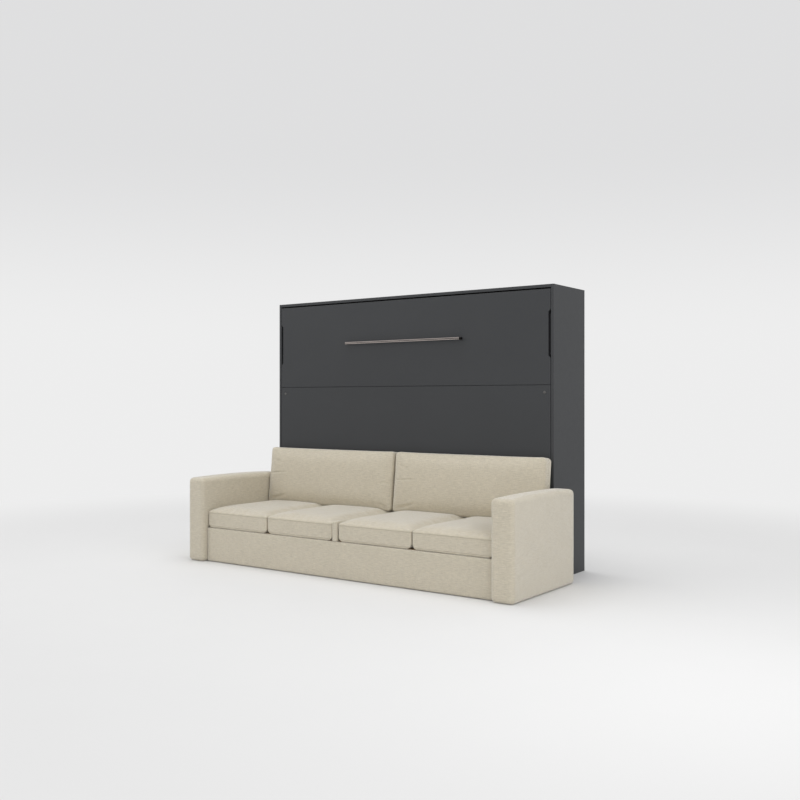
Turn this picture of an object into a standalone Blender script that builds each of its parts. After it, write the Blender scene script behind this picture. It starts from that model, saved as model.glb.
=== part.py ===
"""A sideways wall bed in a shallow cabinet, with a sofa standing in front of it.

Frame: +X to the right, +Y to the wall, +Z up, origin on the floor at the middle of the whole.
The bed is closed. It folds down about a line along X, forwards over the sofa's seat.
"""

import math

import bmesh
import bpy
from mathutils import Matrix, Vector

# Fits shared by all pieces
FIT = 0.0003  # between pieces that touch
CUT_OVERRUN = 0.004  # a cutter's reach past the face that it cuts
BOARD_EDGE = 0.0008  # the eased edge of a laminated board
METAL_EDGE = 0.0006
ROUND_SIDES = 20  # flats round a pin or a tube

# Mattress and the board frame round it
MATTRESS_LENGTH = 2.0
MATTRESS_WIDTH = 1.4
MATTRESS_THICKNESS = 0.2
MATTRESS_EDGE = 0.028
MATTRESS_SEGMENTS = 3
BOARD = 0.018  # the cabinet's and the front's board
END_BOARD = 0.02
RAIL = 0.022  # the long frame boards' thickness
RAIL_DEPTH = 0.08
LEDGE = 0.02  # the slat ledge on a long board, measured up the bed
LEDGE_DEPTH = 0.04
CENTRE_RAIL_WIDTH = 0.03
CENTRE_RAIL_WALL = 0.002
BED_LOW = 0.243  # underside of the lower frame board
PANEL_RISE = 0.0109  # the front's top edge above the frame
PANEL_DROP = 0.003  # the front's bottom edge below the frame
PANEL_SEAM_HEIGHT = 1.1385
PANEL_SEAM = 0.003
PANEL_SIDE_GAP = 0.003
PANEL_TOP_GAP = 0.0085

# Slats
SLATS = 14
SLAT_WIDTH = 0.053
SLAT_THICKNESS = 0.008
SLAT_END_GAP = 0.004
SLAT_MIDDLE_GAP = 0.006  # between the two rows, over the centre rail
SLAT_MARGIN = 0.045  # from the end boards to the first slat
BAND_WIDTH = 0.025
BAND_THICKNESS = 0.002
BAND_SINK = 0.0005
BAND_SHARES = (0.22, 0.78)  # along each slat

# Straps over the mattress
STRAP_WIDTH = 0.04
STRAP_THICKNESS = 0.002
STRAP_FROM_END = 0.38  # to a strap's middle, from the mattress's end

# Cabinet
CABINET_DEPTH = 0.42
SIDE_ROOM = 0.0367  # beside the bed frame, for pivots, struts and legs
APRON_HEIGHT = 0.2
BOTTOM_HEIGHT = 0.06  # underside of the bottom board
BACK_BOARD_HEIGHT = 0.3
LOWER_BACK_HEIGHT = 0.34
BRACKET_LEG = 0.04
BRACKET_LENGTH = 0.06
BRACKET_WALL = 0.003
BRACKET_FROM_SIDE = 0.257  # to a bracket's middle, from the cabinet's side

# Main pivot
PIVOT_DEPTH = 0.1  # behind the front's face
PIVOT_HEIGHT = 0.475
PIN_RADIUS = 0.0095
PIN_COLLAR_RADIUS = 0.014
PIN_END_GAP = 0.0006
BUSH_WALL = 0.004
BUSH_LENGTH = 0.007
ARM_PLATE = 0.005
ARM_PLATE_HEIGHT = 0.13
ARM_PLATE_OVERHANG = 0.032  # behind the pivot
ARM_PLATE_FRONT_GAP = 0.002
PIVOT_PLATE = 0.005
PIVOT_PLATE_SIDE = 0.11

# Gas struts, from the cabinet's side above the pivot to the bed's end board below it
STRUT_OUTWARD = 0.0182  # from the end board's face to the strut's middle
STRUT_FOOT_BACK = 0.22  # from the main pivot
STRUT_FOOT_UP = 0.3
STRUT_HEAD_FRONT = 0.025
STRUT_HEAD_DOWN = 0.115
STRUT_RADIUS = 0.011
STRUT_TUBE_START = 0.02
STRUT_TUBE_END = 0.245
STRUT_BORE_START = 0.07
STRUT_CHAMFER = 0.0015
ROD_RADIUS = 0.005
ROD_CLEARANCE = 0.0006
ROD_INNER_END = 0.226  # from the strut's foot, with the bed closed
EYE_RADIUS = 0.01
EYE_THICKNESS = 0.008
EYE_NECK = 0.004
STUD_RADIUS = 0.004
STUD_CLEARANCE = 0.0003
STUD_PAST_EYE = 0.001
STRUT_OPEN_GAP = 0.0005  # at the head, where the chain of pieces is open
STUD_PLATE = 0.003
STUD_PLATE_SIDE = 0.046

# Legs, folded behind the slots in the upper front
SLOT_DEPTH = 0.014
SLOT_SLANT = 0.018
SLOT_ROOM_TOP = 0.001
SLOT_ROOM_BOTTOM = 0.0057
LEG_BELOW_FRAME_TOP = 0.1376
LEG_SIDE_GAP = 0.0015
LEG_THICKNESS = 0.01
LEG_WIDTH = 0.026
LEG_BEHIND_PANEL = 0.001
LEG_TUBE_LENGTH = 0.225  # from its pivot down
LEG_BORE_LENGTH = 0.2027
LEG_WALL = 0.0015
LEG_ARC_POINTS = 9
EXTENSION_LENGTH = 0.2
FOOT_HEIGHT = 0.008
LEG_PIN_RADIUS = 0.005
LEG_PIN_FLANGE_RADIUS = 0.012
LEG_PIN_FLANGE = 0.003

# Handle
HANDLE_HEIGHT = 1.43
HANDLE_LENGTH = 0.904
HANDLE_BAR_HEIGHT = 0.015
HANDLE_BAR_DEPTH = 0.012
HANDLE_FINGER_GAP = 0.025
HANDLE_FOOT_WIDTH = 0.012
HANDLE_EDGE = 0.003
HANDLE_SEGMENTS = 2
HANDLE_GROOVE = 0.003
HANDLE_GROOVE_DEPTH = 0.0012

# Bolt heads in the lower front
BOLT_INSET = 0.038  # from the front's side edge
BOLT_BELOW_SEAM = 0.044
BOLT_RADIUS = 0.0085
BOLT_HEIGHT = 0.0022
BOLT_SOCKET_RADIUS = 0.0035
BOLT_SOCKET_DEPTH = 0.0014
SOCKET_SIDES = 6

# Sofa
SOFA_GAP = 0.0005  # from the cabinet
ARM_CLEARANCE = 0.019  # from the front's side edge to a sofa arm
ARM_WIDTH = 0.137
ARM_LENGTH = 0.7295
ARM_HEIGHT = 0.54
ARM_EDGE = 0.03
ARM_SEGMENTS = 3
ARM_CROWN = 0.011  # the rise of an arm's top to its middle
ARM_CROWN_POWER = 2.5
ARM_CELLS_SHARES = (-0.4, 0.0, 0.4)  # of an arm's half size, where its crown is cut
BASE_SETBACK = 0.0415  # of the base's front behind the arms' fronts
BASE_HEIGHT = 0.2192
BASE_FLOOR_GAP = 0.003
BASE_BOARD = 0.02
DECK_THICKNESS = 0.018
DIVIDER_WIDTH = 0.042
DIVIDER_PROUD = 0.013
DIVIDER_HEIGHT = 0.103
DIVIDER_EDGE = 0.009
DIVIDER_SEGMENTS = 2
SEAT_CUSHIONS_A_SIDE = 2
SEAT_GAP = 0.003
SEAT_PROUD = 0.002
SEAT_BACK_GAP = 0.0045
SEAT_THICKNESS = 0.1055
SEAT_CROWN = 0.02
SEAT_DRAW = 0.005
SEAT_EDGE = 0.022
BACK_END_GAP = 0.005
BACK_MIDDLE_GAP = 0.008
BACK_THICKNESS = 0.085
BACK_HEIGHT = 0.395
BACK_CROWN = 0.016
BACK_REAR_CROWN = 0.004
BACK_DRAW = 0.006
BACK_EDGE = 0.03
BACK_TILT = math.radians(6.5)
BACK_FROM_CABINET = 0.0636  # the middle of a back cushion
BACK_ABOVE_SEAT = 0.2022  # the middle of a back cushion above a seat's edge
CUSHION_TURN_BEHIND = 0.075  # the back cushions' turning line, behind the arms' fronts
CUSHION_TURN_DEPTH = 0.4292  # below the floor
CUSHION_CELLS_SHARES = (-0.34, 0.34)  # of a cushion's half size, between its edge loops
CUSHION_CROWN_POWER = 4

# Heights worked out from the sizes above
MATTRESS_LOW = BED_LOW + RAIL + FIT
MATTRESS_HIGH = MATTRESS_LOW + MATTRESS_WIDTH
FRAME_TOP = MATTRESS_HIGH + FIT + RAIL
PANEL_TOP = FRAME_TOP + PANEL_RISE
PANEL_LOW = BED_LOW - PANEL_DROP
TOP_LOW = PANEL_TOP + PANEL_TOP_GAP
CABINET_HEIGHT = TOP_LOW + BOARD

# Places along X, from the middle
END_INNER = MATTRESS_LENGTH / 2 + FIT
BED_HALF = END_INNER + END_BOARD
CABINET_INNER = BED_HALF + SIDE_ROOM
CABINET_HALF = CABINET_INNER + BOARD
PANEL_HALF = CABINET_INNER - PANEL_SIDE_GAP
ARM_INNER = PANEL_HALF + ARM_CLEARANCE
ARM_OUTER = ARM_INNER + ARM_WIDTH
SEAT_HALF = ARM_INNER - FIT
STRUT_X = BED_HALF + STRUT_OUTWARD
SLOT_INNER = PANEL_HALF - SLOT_DEPTH
LEG_INNER = SLOT_INNER + LEG_SIDE_GAP
LEG_X = LEG_INNER + LEG_THICKNESS / 2

# Places along Y
WHOLE_DEPTH = ARM_LENGTH + SOFA_GAP + CABINET_DEPTH
ARM_FRONT = -WHOLE_DEPTH / 2
ARM_BACK = ARM_FRONT + ARM_LENGTH
CABINET_FRONT = ARM_BACK + SOFA_GAP
CABINET_BACK = CABINET_FRONT + CABINET_DEPTH
FRAME_FRONT = CABINET_FRONT + BOARD + FIT
FRAME_BACK = FRAME_FRONT + RAIL_DEPTH
LEDGE_BACK = FRAME_FRONT + LEDGE_DEPTH
SLAT_FRONT = LEDGE_BACK + FIT
MATTRESS_FRONT = SLAT_FRONT + SLAT_THICKNESS + FIT
MATTRESS_BACK = MATTRESS_FRONT + MATTRESS_THICKNESS
BOARD_BACK_FACE = CABINET_BACK - BOARD
BASE_FRONT = ARM_FRONT + BASE_SETBACK
BASE_INNER = BASE_FRONT + BASE_BOARD

# Joint lines
PIVOT = Vector((0.0, CABINET_FRONT + PIVOT_DEPTH, PIVOT_HEIGHT))
STRUT_FOOT = PIVOT + Vector((0.0, STRUT_FOOT_BACK, STRUT_FOOT_UP))
STRUT_HEAD = PIVOT - Vector((0.0, STRUT_HEAD_FRONT, STRUT_HEAD_DOWN))
STRUT_LENGTH = (STRUT_HEAD - STRUT_FOOT).length
STRUT_LEAN = math.atan2(STRUT_FOOT.y - STRUT_HEAD.y, STRUT_HEAD.z - STRUT_FOOT.z)
LEG_Y = CABINET_FRONT + BOARD + LEG_BEHIND_PANEL + LEG_WIDTH / 2
LEG_Z = FRAME_TOP - LEG_BELOW_FRAME_TOP
CUSHION_TURN = Vector((0.0, ARM_FRONT + CUSHION_TURN_BEHIND, -CUSHION_TURN_DEPTH))

SIDES = {"left": -1, "right": 1}

# Finishes: colour, roughness, metallic
FINISHES = {
    "grey_board": ((0.058, 0.061, 0.064), 0.55, 0.0),
    "beige_fabric": ((0.50, 0.45, 0.34), 0.9, 0.0),
    "brushed_nickel": ((0.42, 0.38, 0.35), 0.35, 1.0),
    "black_steel": ((0.02, 0.02, 0.022), 0.5, 0.3),
    "zinc_steel": ((0.55, 0.56, 0.57), 0.35, 1.0),
    "slat_wood": ((0.62, 0.44, 0.26), 0.5, 0.0),
    "mattress_cover": ((0.78, 0.77, 0.74), 0.9, 0.0),
    "strap_webbing": ((0.06, 0.06, 0.065), 0.85, 0.0),
    "nylon": ((0.04, 0.04, 0.045), 0.45, 0.0),
    "rod_steel": ((0.75, 0.75, 0.76), 0.15, 1.0),
}


def clear_scene():
    for item in list(bpy.data.objects):
        bpy.data.objects.remove(item, do_unlink=True)


def collection(name):
    made = bpy.data.collections.new(name)
    bpy.context.scene.collection.children.link(made)
    return made


def finish(name):
    """The material of that name, made on its first use."""
    if name in bpy.data.materials:
        return bpy.data.materials[name]
    colour, roughness, metallic = FINISHES[name]
    material = bpy.data.materials.new(name)
    material.use_nodes = True
    shader = material.node_tree.nodes["Principled BSDF"]
    shader.inputs["Base Color"].default_value = (*colour, 1.0)
    shader.inputs["Roughness"].default_value = roughness
    shader.inputs["Metallic"].default_value = metallic
    return material


def place(name, mesh, material, location, pivot=None):
    """Links a mesh as a piece at a place in the world, under its joint's empty if it moves."""
    piece = bpy.data.objects.new(name, mesh)
    PARTS.objects.link(piece)
    piece.location = location
    if material:
        mesh.materials.append(finish(material))
    if pivot:
        piece.parent = pivot
        piece.location = pivot.matrix_basis.inverted() @ Vector(location)
    return piece


def empty(name, location, lean=0.0):
    """A joint's empty, at a place on its axis."""
    pivot = bpy.data.objects.new(name, None)
    PARTS.objects.link(pivot)
    pivot.location = location
    pivot.rotation_euler = (lean, 0.0, 0.0)
    return pivot


def bevel(piece, width, segments=1):
    modifier = piece.modifiers.new("edges", "BEVEL")
    modifier.width = width
    modifier.segments = segments
    modifier.limit_method = "ANGLE"
    return piece


def as_cutter(tool):
    """Moves a piece to the cutters, out of the model."""
    PARTS.objects.unlink(tool)
    CUTTERS.objects.link(tool)
    tool.hide_render = True
    tool.display_type = "WIRE"


def combine(piece, tool, operation):
    as_cutter(tool)
    modifier = piece.modifiers.new(tool.name, "BOOLEAN")
    modifier.operation = operation
    modifier.object = tool
    return piece


def finished(bm, name):
    mesh = bpy.data.meshes.new(name)
    bm.to_mesh(mesh)
    bm.free()
    return mesh


def block(name, material, low, high, pivot=None):
    """A board or bar between two opposite corners."""
    low, high = Vector(low), Vector(high)
    size = high - low
    bm = bmesh.new()
    bmesh.ops.create_cube(bm, size=1.0, matrix=Matrix.Diagonal((*size, 1.0)))
    return place(name, finished(bm, name), material, (low + high) / 2, pivot)


def board(name, low, high, pivot=None):
    return bevel(block(name, "grey_board", low, high, pivot), BOARD_EDGE)


def cylinder_x(name, material, radius, start, end, y, z, pivot=None, sides=ROUND_SIDES):
    """A round bar along X."""
    bm = bmesh.new()
    turn = Matrix.Rotation(math.pi / 2, 4, "Y")
    bmesh.ops.create_cone(
        bm, cap_ends=True, segments=sides, radius1=radius, radius2=radius, depth=abs(end - start), matrix=turn
    )
    piece = place(name, finished(bm, name), material, ((start + end) / 2, y, z), pivot)
    shade_round(piece)
    return piece


def shade_round(piece):
    piece.data.shade_smooth()
    piece.data.set_sharp_from_angle(angle=math.radians(35))


def outline(name, material, loops, thickness, location, turn, pivot=None):
    """A flat outline, its inner loops cut out, as a plate of that thickness."""
    curve = bpy.data.curves.new(name, "CURVE")
    curve.dimensions = "2D"
    curve.fill_mode = "BOTH"
    curve.extrude = thickness / 2
    for points in loops:
        spline = curve.splines.new("POLY")
        spline.points.add(len(points) - 1)
        for point, (across, up) in zip(spline.points, points):
            point.co = (across, up, 0.0, 1.0)
        spline.use_cyclic_u = True
    drawn = bpy.data.objects.new(name + "_outline", curve)
    PARTS.objects.link(drawn)
    evaluated = drawn.evaluated_get(bpy.context.evaluated_depsgraph_get())
    mesh = bpy.data.meshes.new_from_object(evaluated)
    bpy.data.objects.remove(drawn, do_unlink=True)
    bm = bmesh.new()
    bm.from_mesh(mesh)
    bmesh.ops.remove_doubles(bm, verts=bm.verts, dist=FIT / 10)
    bmesh.ops.recalc_face_normals(bm, faces=bm.faces)
    bm.to_mesh(mesh)
    bm.free()
    mesh.name = name
    piece = place(name, mesh, material, location, pivot)
    piece.rotation_euler = turn
    return piece


FACING_X = (math.pi / 2, 0.0, math.pi / 2)  # outline across is +Y, up is +Z
FACING_Y = (math.pi / 2, 0.0, 0.0)  # outline across is +X, up is +Z


def circle(radius, y=0.0, z=0.0, sides=ROUND_SIDES):
    steps = (2 * math.pi * index / sides for index in range(sides))
    return [(y + radius * math.cos(a), z + radius * math.sin(a)) for a in steps]


def turned(name, material, profile, location, turn, pivot=None, closed=False):
    """A turned piece from a profile of radius and height, which runs down its outer side."""
    mesh = bpy.data.meshes.new(name)
    edges = [(i, i + 1) for i in range(len(profile) - 1)]
    if closed:
        edges.append((len(profile) - 1, 0))
    mesh.from_pydata([(radius, 0.0, height) for radius, height in profile], edges, [])
    piece = place(name, mesh, material, location, pivot)
    piece.rotation_euler = turn
    screw = piece.modifiers.new("turning", "SCREW")
    screw.steps = ROUND_SIDES
    screw.render_steps = ROUND_SIDES
    screw.use_merge_vertices = True
    screw.merge_threshold = FIT / 10
    return piece


def across(side, first, second):
    """Two distances from the middle as low and high X on that side."""
    return sorted((side * first, side * second))


def cut_across(bm, axis, spots):
    """Cuts a whole mesh square to an axis at each of the spots."""
    for distance in spots:
        normal, spot = Vector(), Vector()
        normal[axis], spot[axis] = 1.0, distance
        everything = bm.verts[:] + bm.edges[:] + bm.faces[:]
        bmesh.ops.bisect_plane(bm, geom=everything, plane_co=spot, plane_no=normal, dist=FIT / 10)


def cushion(name, size, edges, crowns, draw, location, tilt=0.0, crown_axis=2, pivot=None):
    """A stuffed cushion: a crowned block with drawn-in sides and round edges.

    crowns are its rise at the high and the low face of crown_axis.
    """
    half = Vector(size) / 2
    bm = bmesh.new()
    bmesh.ops.create_cube(bm, size=1.0, matrix=Matrix.Diagonal((*size, 1.0)))
    for axis in range(3):
        loops = [half[axis] - edges, edges - half[axis]]
        if axis != crown_axis:
            loops += [share * half[axis] for share in CUSHION_CELLS_SHARES]
        cut_across(bm, axis, loops)
    flat = [axis for axis in range(3) if axis != crown_axis]
    for vertex in bm.verts:
        share = [vertex.co[axis] / half[axis] for axis in range(3)]
        spread = math.prod(1 - share[axis] ** CUSHION_CROWN_POWER for axis in flat)
        rise = crowns[0] if share[crown_axis] > 0 else -crowns[1]
        vertex.co[crown_axis] += rise * spread * abs(share[crown_axis])
        for axis, other in (flat, flat[::-1]):
            if abs(share[axis]) == 1.0:
                vertex.co[axis] -= math.copysign(draw * (1 - share[other] ** 2), share[axis])
    piece = place(name, finished(bm, name), "beige_fabric", location, pivot)
    piece.rotation_euler = (-tilt, 0.0, 0.0)
    surface = piece.modifiers.new("stuffing", "SUBSURF")
    surface.levels = 1
    surface.render_levels = 1
    shade_round(piece)
    return piece


def make_cabinet():
    for side_name, side in SIDES.items():
        low, high = across(side, CABINET_INNER, CABINET_HALF)
        board("side_panel_" + side_name, (low, CABINET_FRONT, 0.0), (high, CABINET_BACK, CABINET_HEIGHT))
    inner = CABINET_INNER - FIT
    board("top_panel", (-inner, CABINET_FRONT, TOP_LOW), (inner, CABINET_BACK, CABINET_HEIGHT))
    apron_back = CABINET_FRONT + BOARD
    board("lower_apron", (-inner, CABINET_FRONT, 0.0), (inner, apron_back, APRON_HEIGHT))
    back_face = BOARD_BACK_FACE - FIT
    bottom_high = BOTTOM_HEIGHT + BOARD
    board("bottom_panel", (-inner, apron_back + FIT, BOTTOM_HEIGHT), (inner, back_face, bottom_high))
    board("back_board_lower", (-inner, BOARD_BACK_FACE, 0.0), (inner, CABINET_BACK, LOWER_BACK_HEIGHT))
    high = TOP_LOW - FIT
    low = high - BACK_BOARD_HEIGHT
    board("back_board_upper", (-inner, BOARD_BACK_FACE, low), (inner, CABINET_BACK, high))
    for side_name, side in SIDES.items():
        make_wall_bracket(side_name, side, back_face, high)


def make_wall_bracket(side_name, side, back_face, high):
    """An angle in the corner of the top board and the upper back board."""
    angle = [
        (0.0, 0.0),
        (-BRACKET_LEG, 0.0),
        (-BRACKET_LEG, -BRACKET_WALL),
        (-BRACKET_WALL, -BRACKET_WALL),
        (-BRACKET_WALL, -BRACKET_LEG),
        (0.0, -BRACKET_LEG),
    ]
    spot = (side * (CABINET_INNER - BRACKET_FROM_SIDE), back_face, high)
    bracket = outline("wall_bracket_" + side_name, "zinc_steel", [angle], BRACKET_LENGTH, spot, FACING_X)
    bevel(bracket, METAL_EDGE)


def slot_ends():
    """Heights of a leg slot's inner end at the top and at the bottom."""
    top = LEG_Z + LEG_WIDTH / 2 + SLOT_ROOM_TOP
    bottom = LEG_Z - LEG_TUBE_LENGTH - FIT - FOOT_HEIGHT - SLOT_ROOM_BOTTOM
    return top, bottom


def make_fronts(bed):
    top, bottom = slot_ends()
    seam_high = PANEL_SEAM_HEIGHT + PANEL_SEAM / 2
    edge = [
        (PANEL_HALF, seam_high),
        (PANEL_HALF, bottom - SLOT_SLANT),
        (SLOT_INNER, bottom),
        (SLOT_INNER, top),
        (PANEL_HALF, top + SLOT_SLANT),
        (PANEL_HALF, PANEL_TOP),
    ]
    loop = edge + [(-x, z) for x, z in reversed(edge)]
    middle = (0.0, CABINET_FRONT + BOARD / 2, 0.0)
    upper = outline("front_panel_upper", "grey_board", [loop], BOARD, middle, FACING_Y, bed)
    bevel(upper, BOARD_EDGE)
    low = (-PANEL_HALF, CABINET_FRONT, PANEL_LOW)
    high = (PANEL_HALF, CABINET_FRONT + BOARD, PANEL_SEAM_HEIGHT - PANEL_SEAM / 2)
    board("front_panel_lower", low, high, bed)


def make_bolts(bed):
    """A round bolt head with a hexagon socket near each upper corner of the lower front."""
    z = PANEL_SEAM_HEIGHT - BOLT_BELOW_SEAM
    seat = CABINET_FRONT - FIT
    rim = BOLT_RADIUS - BOLT_HEIGHT / 2
    profile = [
        (0.0, BOLT_HEIGHT),
        (rim, BOLT_HEIGHT),
        (BOLT_RADIUS, BOLT_HEIGHT / 2),
        (BOLT_RADIUS, 0.0),
        (0.0, 0.0),
    ]
    for side_name, side in SIDES.items():
        x = side * (PANEL_HALF - BOLT_INSET)
        name = "panel_bolt_" + side_name
        head = turned(name, "zinc_steel", profile, (x, seat, z), (math.pi / 2, 0.0, 0.0), bed)
        bm = bmesh.new()
        deep = BOLT_SOCKET_DEPTH + CUT_OVERRUN
        radius = BOLT_SOCKET_RADIUS
        bmesh.ops.create_cone(
            bm, cap_ends=True, segments=SOCKET_SIDES, radius1=radius, radius2=radius, depth=deep
        )
        y = seat - BOLT_HEIGHT + BOLT_SOCKET_DEPTH - deep / 2
        socket = place(name + "_socket", finished(bm, name + "_socket"), None, (x, y, z), bed)
        socket.rotation_euler = (math.pi / 2, 0.0, 0.0)
        combine(head, socket, "DIFFERENCE")


def make_handle(bed):
    half = HANDLE_LENGTH / 2
    low_z = HANDLE_HEIGHT - HANDLE_BAR_HEIGHT / 2
    high_z = HANDLE_HEIGHT + HANDLE_BAR_HEIGHT / 2
    back = CABINET_FRONT - HANDLE_FINGER_GAP
    front = back - HANDLE_BAR_DEPTH
    bar = block("handle_bar", "brushed_nickel", (-half, front, low_z), (half, back, high_z), bed)
    bevel(bar, HANDLE_EDGE, HANDLE_SEGMENTS)
    groove_low = (-half - CUT_OVERRUN, front - CUT_OVERRUN, HANDLE_HEIGHT - HANDLE_GROOVE / 2)
    groove_high = (half + CUT_OVERRUN, front + HANDLE_GROOVE_DEPTH, HANDLE_HEIGHT + HANDLE_GROOVE / 2)
    combine(bar, block("handle_groove", None, groove_low, groove_high, bed), "DIFFERENCE")
    for side_name, side in SIDES.items():
        low, high = across(side, half, half - HANDLE_FOOT_WIDTH)
        foot_low = (low, back + FIT, low_z)
        foot_high = (high, CABINET_FRONT - FIT, high_z)
        foot = block("handle_foot_" + side_name, "brushed_nickel", foot_low, foot_high, bed)
        bevel(foot, METAL_EDGE)


def make_frame(bed):
    """The board frame behind the front: two long boards with slat ledges, two ends, a steel rail."""
    section = [
        (0.0, 0.0),
        (RAIL_DEPTH, 0.0),
        (RAIL_DEPTH, RAIL),
        (LEDGE_DEPTH, RAIL),
        (LEDGE_DEPTH, RAIL + LEDGE),
        (0.0, RAIL + LEDGE),
    ]
    flipped = [(y, -z) for y, z in reversed(section)]
    for name, loop, z in (("frame_board_lower", section, BED_LOW), ("frame_board_upper", flipped, FRAME_TOP)):
        spot = (0.0, FRAME_FRONT, z)
        bevel(outline(name, "grey_board", [loop], 2 * BED_HALF, spot, FACING_X, bed), BOARD_EDGE)
    low_z, high_z = BED_LOW + RAIL + FIT, FRAME_TOP - RAIL - FIT
    ledge_clear = LEDGE_BACK + BOARD_EDGE + FIT
    for side_name, side in SIDES.items():
        low, high = across(side, END_INNER, BED_HALF)
        piece = board("frame_end_" + side_name, (low, FRAME_FRONT, low_z), (high, FRAME_BACK, high_z), bed)
        notch_low = (low - CUT_OVERRUN, FRAME_FRONT - CUT_OVERRUN, low_z - CUT_OVERRUN)
        notch_high = (high + CUT_OVERRUN, ledge_clear, low_z + LEDGE + FIT)
        combine(piece, block(piece.name + "_low_notch", None, notch_low, notch_high, bed), "DIFFERENCE")
        notch_low = (low - CUT_OVERRUN, FRAME_FRONT - CUT_OVERRUN, high_z - LEDGE - FIT)
        notch_high = (high + CUT_OVERRUN, ledge_clear, high_z + CUT_OVERRUN)
        combine(piece, block(piece.name + "_high_notch", None, notch_low, notch_high, bed), "DIFFERENCE")
    half, wall = CENTRE_RAIL_WIDTH / 2, CENTRE_RAIL_WALL
    outer = [(0.0, -half), (LEDGE_DEPTH, -half), (LEDGE_DEPTH, half), (0.0, half)]
    bore = [
        (wall, wall - half),
        (LEDGE_DEPTH - wall, wall - half),
        (LEDGE_DEPTH - wall, half - wall),
        (wall, half - wall),
    ]
    spot = (0.0, FRAME_FRONT, (MATTRESS_LOW + MATTRESS_HIGH) / 2)
    outline("centre_rail", "black_steel", [outer, bore], 2 * (END_INNER - FIT), spot, FACING_X, bed)


def make_slats(bed):
    """Two rows of slats, each row held together by two woven bands."""
    middle = (MATTRESS_LOW + MATTRESS_HIGH) / 2
    rows = {
        "slats_lower": (BED_LOW + RAIL + SLAT_END_GAP, middle - SLAT_MIDDLE_GAP / 2),
        "slats_upper": (middle + SLAT_MIDDLE_GAP / 2, FRAME_TOP - RAIL - SLAT_END_GAP),
    }
    first = -END_INNER + SLAT_MARGIN + SLAT_WIDTH / 2
    step = -2 * first / (SLATS - 1)
    for name, (low, high) in rows.items():
        bm = bmesh.new()
        size = Matrix.Diagonal((SLAT_WIDTH, SLAT_THICKNESS, high - low, 1.0))
        for index in range(SLATS):
            spot = Matrix.Translation((first + index * step, 0.0, 0.0))
            bmesh.ops.create_cube(bm, size=1.0, matrix=spot @ size)
        spot = (0.0, SLAT_FRONT + SLAT_THICKNESS / 2, (low + high) / 2)
        row = place(name, finished(bm, name), "slat_wood", spot, bed)
        for number, share in enumerate(BAND_SHARES, 1):
            z = low + share * (high - low)
            end = -first + SLAT_WIDTH / 2 - BAND_THICKNESS
            band_low = (-end, SLAT_FRONT - BAND_THICKNESS + BAND_SINK, z - BAND_WIDTH / 2)
            band_high = (end, SLAT_FRONT + BAND_SINK, z + BAND_WIDTH / 2)
            combine(row, block(f"{name}_band_{number}", None, band_low, band_high, bed), "UNION")


def make_mattress(bed):
    half = MATTRESS_LENGTH / 2
    low = (-half, MATTRESS_FRONT, MATTRESS_LOW)
    high = (half, MATTRESS_BACK, MATTRESS_HIGH)
    mattress = block("mattress", "mattress_cover", low, high, bed)
    bevel(mattress, MATTRESS_EDGE, MATTRESS_SEGMENTS)
    shade_round(mattress)
    inner = (MATTRESS_WIDTH / 2) + FIT
    outer = inner + STRAP_THICKNESS
    depth = MATTRESS_BACK - FRAME_BACK
    loop = [
        (0.0, -outer),
        (depth + FIT + STRAP_THICKNESS, -outer),
        (depth + FIT + STRAP_THICKNESS, outer),
        (0.0, outer),
        (0.0, inner),
        (depth + FIT, inner),
        (depth + FIT, -inner),
        (0.0, -inner),
    ]
    for side_name, side in SIDES.items():
        spot = (side * (half - STRAP_FROM_END), FRAME_BACK + FIT, (MATTRESS_LOW + MATTRESS_HIGH) / 2)
        outline("mattress_strap_" + side_name, "strap_webbing", [loop], STRAP_WIDTH, spot, FACING_X, bed)


def make_pivots(bed):
    """Each side: a plate with a pin on the cabinet, a drilled arm plate with a bush on the bed."""
    bush_radius = PIN_RADIUS + FIT + BUSH_WALL
    front = FRAME_FRONT + ARM_PLATE_FRONT_GAP - PIVOT.y
    half = ARM_PLATE_HEIGHT / 2
    arm = [(front, -half), (ARM_PLATE_OVERHANG, -half), (ARM_PLATE_OVERHANG, half), (front, half)]
    ring = [
        (PIN_RADIUS + FIT, BUSH_LENGTH),
        (bush_radius, BUSH_LENGTH),
        (bush_radius, 0.0),
        (PIN_RADIUS + FIT, 0.0),
    ]
    for side_name, side in SIDES.items():
        start = side * (BED_HALF + FIT)
        spot = (start + side * ARM_PLATE / 2, PIVOT.y, PIVOT.z)
        loops = [arm, circle(bush_radius + FIT)]
        plate = outline("hinge_arm_" + side_name, "black_steel", loops, ARM_PLATE, spot, FACING_X, bed)
        bevel(plate, METAL_EDGE)
        turn = (0.0, side * math.pi / 2, 0.0)
        turned("hinge_bush_" + side_name, "nylon", ring, (start, PIVOT.y, PIVOT.z), turn, bed, closed=True)
        make_pivot_plate(side_name, side)


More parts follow.
